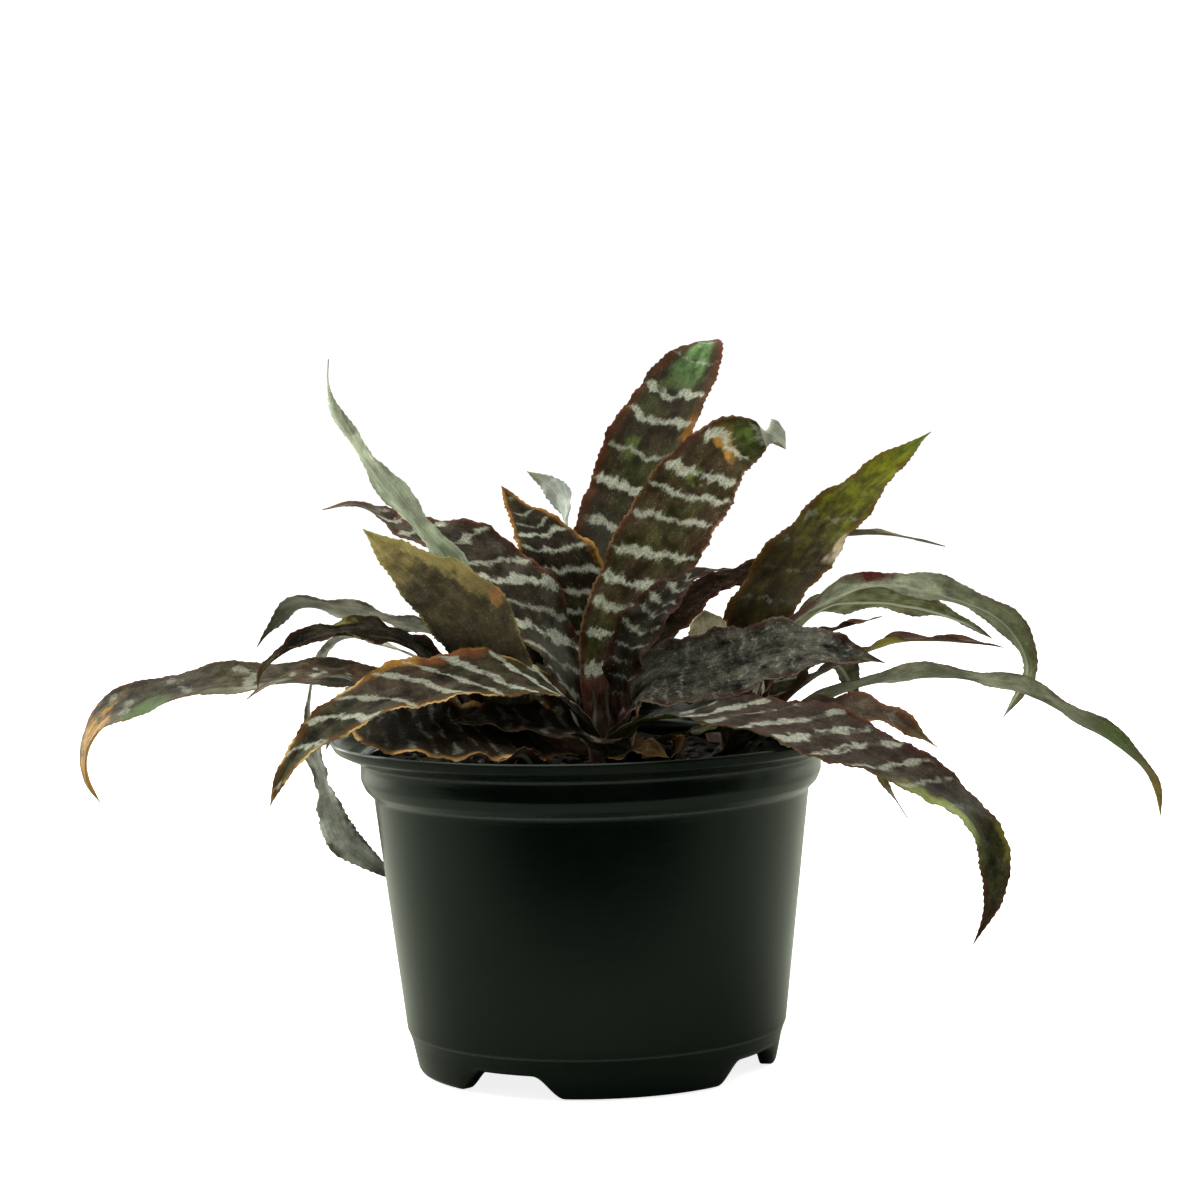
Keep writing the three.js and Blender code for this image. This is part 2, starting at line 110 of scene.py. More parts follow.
class Curve:
    """A centripetal Catmull-Rom curve through points, walked by length."""

    STEPS = 60

    def __init__(self, points):
        points = np.asarray(points, float)
        first = 2 * points[0] - points[1]
        last = 2 * points[-1] - points[-2]
        p = np.vstack([first, points, last])
        dense, places = [], []
        for i in range(len(points) - 1):
            a, b, c, d = p[i:i + 4]
            d0, d1, d2 = (max(np.linalg.norm(v) ** 0.5, 1e-4) for v in (b - a, c - b, d - c))
            t1 = ((b - a) / d0 - (c - a) / (d0 + d1) + (c - b) / d1) * d1
            t2 = ((c - b) / d1 - (d - b) / (d1 + d2) + (d - c) / d2) * d1
            w = np.linspace(0, 1, self.STEPS, endpoint=(i == len(points) - 2))[:, None]
            bend = -3 * b + 3 * c - 2 * t1 - t2
            dense.append(b + t1 * w + bend * w ** 2 + (2 * b - 2 * c + t1 + t2) * w ** 3)
            places.append(i + w[:, 0])
        self.points = np.vstack(dense)
        self.places = np.concatenate(places)
        self.far = np.concatenate([[0], np.cumsum(np.linalg.norm(np.diff(self.points, axis=0), axis=1))])
        self.length = self.far[-1]

    def walk(self, count):
        """At even steps: the length so far, the point, the direction and the place between given points."""
        s = np.linspace(0, self.length, count)
        middle = np.stack([np.interp(s, self.far, self.points[:, k]) for k in range(3)], 1)
        for _ in range(2):
            middle[1:-1] = 0.25 * middle[:-2] + 0.5 * middle[1:-1] + 0.25 * middle[2:]
        ahead = np.gradient(middle, axis=0)
        ahead /= np.linalg.norm(ahead, axis=1)[:, None]
        return s, middle, ahead, np.interp(s, self.far, self.places)


def roll_at(keys, place):
    """The roll in radians at a place between the path's points, eased from one point's roll to the next."""
    keys = np.asarray(keys, float)
    first = np.clip(np.floor(place).astype(int), 0, len(keys) - 2)
    step = place - first
    step = step * step * (3 - 2 * step)
    return np.radians(keys[first] + (keys[first + 1] - keys[first]) * step)


def width_share(along, widest, base, rise, tip):
    """The leaf's outline: from its base's share up to full width, then down to the point."""
    rising = base + (1 - base) * np.sin(np.clip(along / widest, 0, 1) * math.pi / 2) ** rise
    falling = 1 - (np.clip(along - widest, 0, 1) / (1 - widest)) ** tip
    return np.where(along < widest, rising, np.maximum(falling, 0))


def across_frame(ahead, heading, roll):
    """The leaf's sideways and upward directions: level across its heading, then rolled about its midrib."""
    level = np.array([-math.sin(heading), math.cos(heading), 0.0])
    flat = level - ahead * (ahead @ level)[:, None]
    flat /= np.linalg.norm(flat, axis=1)[:, None]
    side = flat * np.cos(roll) + np.cross(ahead, flat) * np.sin(roll)
    return side, np.cross(ahead, side)


# What a leaf has where its own row says nothing.
LEAF_SHAPE = dict(tip=1.75, base=0.6, rise=1.6, cup=0.16, ruffle=1.3, fine=0.55, tooth=0.5)
THICK, RUFFLES, ROW_STEP = 1.0, 5, 0.8


def blade(leaf, seed, spacing=ROW_STEP, columns=17):
    """One thin leaf's points, faces and coordinates: both sheets, finely toothed wavy margins and a rim."""
    leaf = SimpleNamespace(**{**LEAF_SHAPE, **leaf})
    curve = Curve([p[:3] for p in leaf.path])
    rows = max(12, int(round(curve.length / spacing)) + 1)
    s, middle, ahead, place = curve.walk(rows)
    along = s / curve.length
    roll = roll_at([p[3] for p in leaf.path], place)[:, None]
    side, normal = across_frame(ahead, math.radians(leaf.heading), roll)
    rng = np.random.default_rng(seed)
    half = leaf.width / 2 * width_share(along, leaf.widest, leaf.base, leaf.rise, leaf.tip)
    calm = np.sin(np.pi * np.clip(along, 0, 1)) ** 0.6
    fade = np.clip(along * 9, 0, 1) * np.clip((1 - along) * 12, 0.15, 1)
    saw = np.array([0.0, 0.35, 1.0])
    teeth = [saw[(np.arange(rows) + k) % 3] * leaf.tooth * (0.5 + 0.8 * rng.random(rows)) for k in (0, 1)]
    wander = [0.35 * wave_noise(s / 2.6, seed + k) * calm for k in (1, 2)]
    wave = [np.sin(2 * np.pi * (s / length) + late + 1.7 * wave_noise(s / 9.0, seed + k))
            for length, late, k in ((8.0, 0.0, 3), (8.6, 2.1, 4))]
    pucker = wave_noise(s / 3.1, seed + 5)
    across = np.linspace(-1, 1, columns)
    across = np.sign(across) * np.abs(across) ** 0.88
    # mm holds millimetres across and along; pos the share along, the place across and 1 on the upper sheet.
    top, under, mm, pos = [], [], [], []
    for a in across:
        k = 0 if a < 0 else 1
        reach = half + wander[k] * abs(a) ** 3 + teeth[k] * fade * abs(a) ** 12
        reach = np.maximum(reach, 0.12)
        swing = np.sin(2 * np.pi * RUFFLES * along + (2.1, 0)[k])
        rise = leaf.cup * half * a * a + leaf.ruffle * calm * a * a * swing
        rise = rise + leaf.fine * calm * abs(a) ** 3 * wave[k] * np.clip(half / 6, 0.2, 1)
        rise = rise + 0.12 * pucker * (1 - a * a) * calm - 0.28 * np.exp(-(half * a / 1.3) ** 2)
        point = middle + side * (reach * a)[:, None] + normal * rise[:, None]
        body = THICK * (0.5 - 0.34 * abs(a) ** 2.5) * np.clip(half / 3, 0.35, 1)
        top.append(point + normal * body[:, None])
        under.append(point - normal * body[:, None])
        mm.append(np.stack([reach * a, s, np.zeros(rows)], 1))
        pos.append(np.stack([along, np.full(rows, a), np.zeros(rows)], 1))
    top, under, mm, pos = (np.stack(v, 1).reshape(-1, 3) for v in (top, under, mm, pos))
    count = rows * columns
    pos = np.concatenate([pos, pos])
    pos[:count, 2] = 1.0
    index = np.arange(count).reshape(rows, columns)
    a, b, c, d = index[:-1, :-1], index[1:, :-1], index[1:, 1:], index[:-1, 1:]
    faces = [np.stack([a, d, c, b], -1).reshape(-1, 4), np.stack([a, b, c, d], -1).reshape(-1, 4) + count]
    for edge in (index[:, 0], index[:, -1][::-1], index[0, :][::-1], index[-1, :]):
        faces.append(np.stack([edge[:-1], edge[1:], edge[1:] + count, edge[:-1] + count], -1))
    verts, mm = np.concatenate([top, under]), np.concatenate([mm, mm])
    return verts, np.concatenate(faces), mm, pos, (rows, columns)


def map_leaf(obj, pos, sheet):
    """A texture map: the upper face on one half, the under face on the other, the rim between them."""
    layer = obj.data.uv_layers.new(name="OFBake")
    loops = np.zeros(len(obj.data.loops), np.int32)
    obj.data.loops.foreach_get("vertex_index", loops)
    p = pos[loops]
    face = np.repeat(np.arange(len(obj.data.polygons)), 4)
    u = 0.5 + 0.5 * p[:, 1]
    uv = np.stack([0.492 + 0.016 * p[:, 2], 0.01 + 0.98 * p[:, 0]], 1)
    top = face < sheet
    low = (face >= sheet) & (face < 2 * sheet)
    uv[top, 0] = 0.01 + 0.475 * u[top]
    uv[low, 0] = 0.515 + 0.475 * u[low]
    layer.data.foreach_set("uv", uv.astype(np.float32).ravel())


def leaf_piece(name, leaf, seed):
    verts, faces, mm, pos, (rows, columns) = blade(leaf, seed)
    obj = add_mesh(name, verts, faces.tolist(), crease=48)
    give(obj, "leaf_mm", mm)
    give(obj, "leaf_pos", pos)
    map_leaf(obj, pos, (rows - 1) * (columns - 1))
    return obj


# ------------------------------------------------------------- materials

class Value:
    """A number inside a shader: ordinary arithmetic on it builds the nodes."""

    def __init__(self, graph, socket):
        self.graph, self.socket = graph, socket

    def __add__(self, other):
        return self.graph.math("ADD", self, other)

    def __sub__(self, other):
        return self.graph.math("SUBTRACT", self, other)

    def __rsub__(self, other):
        return self.graph.math("SUBTRACT", other, self)

    def __mul__(self, other):
        return self.graph.math("MULTIPLY", self, other)

    def __truediv__(self, other):
        return self.graph.math("DIVIDE", self, other)

    def __rtruediv__(self, other):
        return self.graph.math("DIVIDE", other, self)

    def __abs__(self):
        return self.graph.math("ABSOLUTE", self)


class Graph:
    """Short calls that build the nodes of a material or of the world."""

    def __init__(self, owner, shader="ShaderNodeBsdfPrincipled", end="ShaderNodeOutputMaterial"):
        owner.use_nodes = True
        self.owner, self.tree = owner, owner.node_tree
        self.tree.nodes.clear()
        self.shader = self.tree.nodes.new(shader)
        self.tree.links.new(self.shader.outputs[0], self.tree.nodes.new(end).inputs["Surface"])

    def put(self, socket, value):
        if isinstance(value, Value):
            self.tree.links.new(value.socket, socket)
        else:
            socket.default_value = (*value, 1.0) if socket.type == "RGBA" else value

    def node(self, kind, values, out=0, **settings):
        """A node with its settings and inputs; what comes back is one of its outputs."""
        node = self.tree.nodes.new("ShaderNode" + kind)
        for key, setting in settings.items():
            setattr(node, key, setting)
        for key, value in values.items():
            self.put(node.inputs[key], value)
        return Value(self, node.outputs[out])

    def math(self, operation, *values):
        return self.node("Math", dict(enumerate(values)), operation=operation)

    def split(self, vector):
        node = self.tree.nodes.new("ShaderNodeSeparateXYZ")
        self.put(node.inputs[0], vector)
        return [Value(self, socket) for socket in node.outputs]

    def attribute(self, name):
        return self.split(self.node("Attribute", {}, "Vector", attribute_name=name))

    def vector(self, *axes):
        return self.node("CombineXYZ", dict(enumerate(axes)))

    def noise(self, place, scale=1.0, detail=3.0, rough=0.55, twist=0.0):
        values = {"Vector": place, "Scale": scale, "Detail": detail, "Roughness": rough, "Distortion": twist}
        return self.node("TexNoise", values, "Fac")

    def dots(self, place, scale):
        return self.node("TexVoronoi", {"Vector": place, "Scale": scale}, "Distance")

    def chance(self, w):
        return self.node("TexWhiteNoise", {"W": w}, "Value", noise_dimensions="1D")

    def between(self, value, low, high, to_low=0.0, to_high=1.0, soft=True):
        """The value carried from low..high to to_low..to_high, and held at both ends."""
        values = {"Value": value, "From Min": low, "From Max": high, "To Min": to_low, "To Max": to_high}
        how = "SMOOTHSTEP" if soft else "LINEAR"
        return self.node("MapRange", values, "Result", interpolation_type=how, clamp=True)

    def mix(self, amount, a, b, how="MIX"):
        values = {0: amount, 6: a, 7: b}
        return self.node("Mix", values, 2, data_type="RGBA", blend_type=how, clamp_factor=True)

    def choose(self, ray, without, on_ray):
        """One number for most rays and another for the rays of one kind."""
        return self.node("Mix", {0: self.ray(ray), 2: without, 3: on_ray}, data_type="FLOAT")

    def ray(self, kind):
        return self.node("LightPath", {}, kind)

    def shade(self, color, gain):
        return self.mix(1.0, color, self.node("CombineColor", dict.fromkeys(range(3), gain)), "MULTIPLY")

    def bump(self, height, strength, distance):
        values = {"Strength": strength, "Distance": distance, "Height": height}
        self.put(self.shader.inputs["Normal"], self.node("Bump", values))

    def finish(self, color, roughness, specular):
        values = {"Base Color": color, "Roughness": roughness, "Specular IOR Level": specular}
        for key, value in values.items():
            self.put(self.shader.inputs[key], value)
        return self.owner


# Colours, as linear light.
SILVER = (0.43, 0.45, 0.37)
SCURF = (0.28, 0.31, 0.25)
SCURF_DEEP = (0.13, 0.155, 0.12)
GROUND = (0.040, 0.027, 0.017)
GROUND_GREEN = (0.042, 0.044, 0.016)
MAROON = (0.075, 0.018, 0.013)
RED = (0.22, 0.04, 0.03)
GOLD = (0.55, 0.27, 0.05)
ORANGE = (0.42, 0.13, 0.03)
YELLOW = (0.46, 0.42, 0.12)
LIME = (0.17, 0.26, 0.06)
PINK = (0.24, 0.10, 0.08)
CREAM = (0.62, 0.50, 0.34)
TAN = (0.33, 0.20, 0.09)
RUST = (0.26, 0.11, 0.05)

# How a leaf looks where its own row says nothing. Lengths are in millimetres, places along the leaf are
# shares of its length, places across it run from -1 to 1, and the rest are amounts.
PLAIN_LEAF = dict(
    # The silver bands: spacing and thickness, how they wander and slant, how they break off and fade out.
    period=9.0, thick=2.6, drift=6.5, zig=4.6, jag=2.2, bow=-2.2, slant=0.0, woolly=2.4,
    gap=0.34, faint=0.12, fade=3.2, edge_band=0.1, band_from=0.02, band_to=0.93,
    band=0.95, band_color=SILVER,
    # The upper face: its ground, its base, its tip and the clouding of all of them.
    ground=GROUND, ground2=GROUND_GREEN, base_to=0.22, base=0.5, base_color=MAROON,
    tip_at=0.86, tip_soft=0.12, tip_mix=0.16, tip=0.7, tip_color=GROUND_GREEN, dark=0.42, light=1.6,
    veil=0.14, veil_color=(0.16, 0.155, 0.13), dust=0.12, flecks=0.35,
    seam=0.2, seam_color=(0.02, 0.013, 0.01),
    # Its margins: a wide soft zone and a thin line.
    margin_wide=3.2, zone=0.55, zone_color=MAROON, line=0.9, line_low=0.15, margin=0.6, margin_color=RUST,
    # A stripe along the middle: from, to, half width, colour, amount.
    stripe=None,
    # Painted spots: from and to along the leaf, from and to across it, colour, amount.
    spots=(),
    # The under face: its scurf, rib, base, tip and margins.
    under=SCURF, under2=SCURF_DEEP, under_dark=0.72, under_light=1.28,
    rib=0.45, rib_color=(0.50, 0.54, 0.42),
    under_base=0.35, under_tip_at=0.88, under_tip=0.5, under_tip_color=GROUND_GREEN,
    under_wide=1.6, under_margin=0.6, under_margin_color=MAROON,
    # Which face carries the bands, how bright each face is (the gains, which also hold painted shade and
    # painted light), and how matt and how shiny the leaf is.
    flip=False, gain=1.0, under_gain=1.0, rough=0.50, shine=0.04)

# How far apart in their noise two leaves with neighbouring seeds are, in millimetres and in bands.
SEED_STEP, BAND_SEED_STEP = 7.31, 3.7


def leaf_fields(g, seed):
    """Where a point of the leaf lies, in millimetres and in shares, and the noises that its colours use."""
    drift = seed * SEED_STEP
    u, v, _ = g.attribute("leaf_mm")
    along, across, upper = g.attribute("leaf_pos")
    reach, here = abs(across), u + drift
    edge = abs(u) * (1.0 / g.math("MAXIMUM", reach, 0.05) - 1.0) + g.between(reach, 0.04, 0.12, 6.0, 0.0)

    def field(by_u, by_v, shift=0.0, detail=2.0, rough=0.55):
        return g.noise(g.vector(here * by_u, v * by_v, drift + shift), 1.0, detail, rough)

    return SimpleNamespace(
        drift=drift, u=u, v=v, along=along, across=across, upper=upper, reach=reach, here=here, edge=edge,
        slow=field(0.11, 0.035, 0, 1.0), quick=field(0.28, 0.09),
        frayed=field(1.0, 0.36, 1, 3.0, 0.65), fuzz=field(2.3, 0.95, 2, 3.0, 0.75),
        patch=field(0.07, 0.045, 9, 3.0, 0.6), cloud=field(0.24, 0.17, 11, 3.0, 0.6),
        broken=field(0.16, 0.16, 3), tiny=field(1.5, 1.5, 6, 3.0, 0.7),
        fine=field(2.6, 0.14, 0, 4.0, 0.7), lines=field(2.2, 0.06, 5, 4.0, 0.7),
        rust=g.noise(g.vector(drift, v * 0.11, g.math("SIGN", across)), 1.0, 2.0))


def silver_bands(g, f, look, seed):
    """Wavy cross-bands, knotted, broken and woolly: the amount of silver, and the depth inside a band."""
    w = f.v + (f.slow - 0.5) * look.drift + (f.quick - 0.5) * look.zig + (f.frayed - 0.5) * look.jag
    cell = (w + f.reach * look.bow + f.u * look.slant) / look.period
    count = g.math("FLOOR", cell) + seed * BAND_SEED_STEP
    luck, other = g.chance(count), g.chance(count + 0.5)
    away = abs(g.math("FRACT", cell) - (luck * 0.3 + 0.35)) * look.period
    half = (other * 0.6 + 0.6) * (look.thick / 2) * g.between(f.cloud, 0.32, 0.66, 0.45, 1.55)
    half = half * g.between(f.edge, 0.2, look.fade, look.edge_band, 1.0)
    inside = half + (f.fuzz - 0.5) * look.woolly - away
    band = g.between(inside, -0.55, 0.75) * g.between(f.tiny, 0.30, 0.60, 0.38, 1.0)
    band = band * g.between(f.broken, look.gap, look.gap + 0.14, look.faint, 1.0) * (other * 0.4 + 0.6)
    band = band * g.between(f.edge, 0.1, look.fade * 0.7, 0.25, 1.0)
    band = band * g.between(f.along, look.band_from, look.band_from + 0.08)
    band = band * g.between(f.along, look.band_to, look.band_to + 0.07, 1.0, 0.0)
    return band * look.band, inside


def upper_face(g, f, look, band, inside):
    """The patterned face: ground, red base, tip and margins, painted spots, then dust and silver bands."""
    color = g.mix(g.between(f.patch, 0.42, 0.60), look.ground, look.ground2)
    color = g.mix(g.between(f.along, 0.0, look.base_to, look.base, 0.0), color, look.base_color)
    tipness = g.between(f.along + (f.cloud - 0.5) * look.tip_mix, look.tip_at, look.tip_at + look.tip_soft)
    color = g.mix(tipness * look.tip, color, look.tip_color)
    if look.stripe:
        low, high, wide, stripe_color, amount = look.stripe
        stripe = g.between(f.along, low, low + 0.1) * g.between(f.along, high, high + 0.08, 1.0, 0.0)
        ragged = f.reach + (f.quick - 0.5) * 0.5
        stripe = stripe * g.between(ragged, wide * 0.5, wide * 1.2, amount, 0.0)
        color = g.mix(stripe, color, stripe_color)
    color = g.shade(color, g.between(f.cloud, 0.32, 0.68, look.dark, look.light, soft=False))
    grey = g.between(f.broken, 0.50, 0.66) * g.between(f.fuzz, 0.35, 0.65, 0.3, 1.0)
    color = g.mix(grey * look.veil, color, look.veil_color)
    zone = g.between(f.edge + (f.cloud - 0.5) * 5.0, 0.4, look.margin_wide, 1.0, 0.0)
    color = g.mix(zone * look.zone, color, look.zone_color)
    line = g.between(f.edge + (f.fuzz - 0.5) * 1.6, 0.25, look.line, 1.0, 0.0)
    line = line * g.between(f.rust, 0.40, 0.56, look.line_low, 1.0)
    color = g.mix(line * look.margin, color, look.margin_color)
    for low, high, left, right, spot_color, amount in look.spots:
        soft_a, soft_c = 0.4 * (high - low), 0.35 * (right - left)
        a = f.along + (f.broken - 0.5) * 0.12
        c = f.across + (f.cloud - 0.5) * 0.9
        spot = g.between(a, low, low + soft_a) * g.between(a, high - soft_a, high, 1.0, 0.0)
        spot = spot * (g.between(c, left, left + soft_c) * g.between(c, right - soft_c, right, 1.0, 0.0))
        color = g.mix(spot * amount, color, spot_color)
    color = g.shade(color, g.between(f.fine, 0.28, 0.72, 0.72, 1.3, soft=False))
    color = g.shade(color, g.between(f.tiny, 0.28, 0.72, 0.78, 1.25, soft=False))
    color = g.mix(g.between(f.fuzz, 0.58, 0.78, 0.0, look.dust), color, SILVER)
    flecks = g.between(g.dots(g.vector(f.here * 0.8, f.v * 1.2, f.drift), 1.0), 0.05, 0.25, look.flecks, 0.0)
    color = g.mix(flecks * g.between(f.cloud, 0.42, 0.56), color, SILVER)
    wool = g.between(inside, -0.2, 1.4, 0.62, 1.38) * g.between(f.fine, 0.30, 0.66, 0.72, 1.22)
    color = g.mix(band, color, g.shade(look.band_color, wool))
    return g.mix(g.between(abs(f.u), 0.25, 0.9, look.seam, 0.0), color, look.seam_color)


def under_face(g, f, look):
    """The silvery scurf of the under face, with a pale rib, fine lines and stained margins."""
    color = g.mix(g.between(f.cloud, 0.36, 0.64), look.under2, look.under)
    color = g.shade(color, g.between(f.lines, 0.30, 0.70, 0.62, 1.34, soft=False))
    color = g.shade(color, g.between(f.broken, 0.34, 0.66, look.under_dark, look.under_light))
    color = g.shade(color, g.between(f.tiny, 0.28, 0.72, 0.86, 1.14, soft=False))
    color = g.mix(g.between(abs(f.u), 0.3, 1.1, look.rib, 0.0), color, look.rib_color)
    stain = g.between(f.edge + (f.cloud - 0.5) * 4.0, 0.2, look.under_wide, 1.0, 0.0)
    stain = stain * g.between(f.rust, 0.42, 0.58)
    color = g.mix(stain * look.under_margin, color, look.under_margin_color)
    tipness = g.between(f.along, look.under_tip_at, 1.0, 0.0, look.under_tip)
    color = g.mix(tipness, color, look.under_tip_color)
    return g.mix(g.between(f.along, 0.0, 0.25, look.under_base, 0.0), color, look.base_color)


def leaf_material(name, seed, look):
    """One leaf's material: the banded face above and the scurfy one below, or the other way about."""
    look = SimpleNamespace(**{**PLAIN_LEAF, **look})
    g = Graph(bpy.data.materials.new(name))
    f = leaf_fields(g, seed)
    band, inside = silver_bands(g, f, look, seed)
    # The gains scale each face's colour: partly the leaf's own tone, partly painted shade and painted light
    # for how each leaf is lit.
    above = g.shade(upper_face(g, f, look, band, inside), look.gain)
    below = g.shade(under_face(g, f, look), look.under_gain)
    face = g.between(f.upper, 0.3, 0.7, float(look.flip), float(not look.flip), soft=False)
    g.bump(f.fine * 0.5 + f.fuzz * 0.3 + band * 0.25, 0.6, 0.0005)
    matt = band * 0.22 + look.rough + (1.0 - face) * 0.16
    return g.finish(g.mix(face, below, above), matt, look.shine)


def pot_material():
    """Thin dark-green plastic, scratched round the wall, with painted highlight lines along its ridges, and
    duller on the lip.
    """
    g = Graph(bpy.data.materials.new("pot_plastic"))
    x, y, z = g.attribute("pot_mm")
    place = g.vector(x, y, z)
    cloud = g.noise(place, 0.03, 3.0, 0.6)
    scratch = g.noise(g.vector(x * 0.10, y * 0.10, z * 1.3), 1.0, 3.0, 0.6)
    grain = g.noise(place, 1.6, 2.0, 0.6)
    color = g.mix(g.between(cloud, 0.3, 0.7), (0.0010, 0.0028, 0.0020), (0.0016, 0.0042, 0.0030))
    color = g.mix(g.between(g.dots(place, 0.11), 0.0, 0.05, 0.35, 0.0), color, (0.03, 0.036, 0.032))
    color = g.mix(g.between(scratch, 0.55, 0.75) * 0.25, color, (0.007, 0.011, 0.009))
    # Painted highlights: a thin paler line along each moulded ridge stands in for the light caught on its
    # edge.
    for level in (BAND_TOP, WALL_TOP, STEP_TOP):
        line = g.between(abs(z - (level - 0.1)), 0.15, 0.7, 0.8, 0.0)
        color = g.mix(line * g.between(grain, 0.3, 0.6, 0.5, 1.0), color, (0.030, 0.042, 0.036))
    soil_stain = g.between(z, 97.0, 110.0) * g.between(cloud, 0.4, 0.6)
    color = g.mix(soil_stain * 0.15, color, (0.02, 0.015, 0.01))
    g.bump(grain * 0.35 + scratch * 0.6, 0.18, 0.0004)
    g.put(g.shader.inputs["Specular Tint"], (0.77, 1.0, 0.87))
    shine = g.between(z, BAND_TOP - 0.5, BAND_TOP + 1.5, 0.22, 0.10)
    return g.finish(color, g.between(cloud, 0.3, 0.7, 0.19, 0.25), shine)


def soil_material():
    """Dark mix with brown fibres; a bit's kind is 0 for mix, 1 for bark and 2 for pale grit."""
    g = Graph(bpy.data.materials.new("soil_mix"))
    x, y, z = g.attribute("pot_mm")
    kind, tone, _ = g.attribute("bit")
    place = g.vector(x, y, z)
    clods = g.noise(place, 0.32, 5.0, 0.7)
    color = g.mix(g.between(clods, 0.35, 0.7), (0.0035, 0.0030, 0.0022), (0.016, 0.012, 0.008))
    fibre = g.noise(g.vector(x * 0.3, y * 1.3, z), 1.0, 4.0, 0.7, 1.2)
    color = g.mix(g.between(fibre, 0.62, 0.75, 0.0, 0.5), color, (0.07, 0.04, 0.02))
    bark = g.mix(tone, (0.010, 0.006, 0.004), (0.06, 0.035, 0.018))
    grit = g.mix(tone, (0.10, 0.09, 0.07), (0.36, 0.35, 0.31))
    color = g.mix(g.between(kind, 0.4, 0.6), color, g.shade(bark, g.between(clods, 0.3, 0.7, 0.6, 1.4)))
    color = g.mix(g.between(kind, 1.4, 1.6), color, g.shade(grit, g.between(clods, 0.3, 0.7, 0.7, 1.1)))
    g.bump(g.noise(place, 0.9, 5.0, 0.7), 0.7, 0.0012)
    return g.finish(color, g.between(clods, 0.3, 0.7, 0.85, 0.98), 0.2)


def paper_material():
    """White paper that glows for the camera; shiny surfaces see it dark in front and grey behind."""
    g = Graph(bpy.data.materials.new("floor_paper"))
    spot = g.node("TexCoord", {}, "Object")
    camera_ray = g.ray("Is Camera Ray")
    mirrored = g.mix(g.between(g.split(spot)[1], -0.28, -0.14), (0.0, 0.0, 0.0), (0.48, 0.52, 0.45))
    bounced = g.mix(g.ray("Is Glossy Ray"), (0.85, 0.85, 0.80), mirrored)
    white = g.mix(g.noise(spot, 60.0, 3.0), (0.86, 0.86, 0.86), (0.89, 0.89, 0.89))
    g.put(g.shader.inputs["Emission Color"], (1.0, 1.0, 1.0))
    g.put(g.shader.inputs["Emission Strength"], camera_ray * 0.85)
    return g.finish(g.mix(camera_ray, bounced, white), 0.9, 0.1)


# ------------------------------------------------------------------- pot

def refine(profile, most=2.5, bevel=0.45):
    """A profile with short bevels at its corners and no long steps."""
    points = [np.array(p, float) for p in profile]
    rounded = [points[0]]
    for before, here, after in zip(points, points[1:], points[2:]):
        into, out = here - before, after - here
        cut = min(bevel, np.linalg.norm(into) * 0.3, np.linalg.norm(out) * 0.3)
        a = here - into / np.linalg.norm(into) * cut
        b = here + out / np.linalg.norm(out) * cut
        rounded += [a, 0.25 * a + 0.5 * here + 0.25 * b, b]
    rounded.append(points[-1])
    fine = [rounded[0]]
    for a, b in zip(rounded, rounded[1:]):
        steps = max(1, int(np.ceil(np.linalg.norm(b - a) / most)))
        fine += [a + (b - a) * k / steps for k in range(1, steps + 1)]
    return np.array(fine)


def foot_height(angle):
    """How high the foot ring's lower edge is at an angle: nothing on a foot, NOTCH_HEIGHT in a notch."""
    height = np.zeros_like(angle)
    for k in range(NOTCHES):
        turn = (angle - math.radians(NOTCH_FIRST - 90 + 360 / NOTCHES * k) + np.pi) % (2 * np.pi) - np.pi
        off = np.where(np.abs(turn) < 1.2, FOOT_RADIUS * np.sin(np.abs(turn)), 99)
        foot = NOTCH_HALF_FOOT - (NOTCH_HALF_FOOT - NOTCH_HALF_TOP) / (NOTCH_HEIGHT + 1)
        t = np.clip((foot + 0.6 - off) / (foot + 1.2 - NOTCH_HALF_TOP), 0, 1)
        height = np.maximum(height, NOTCH_HEIGHT * t * t * (3 - 2 * t))
    return height


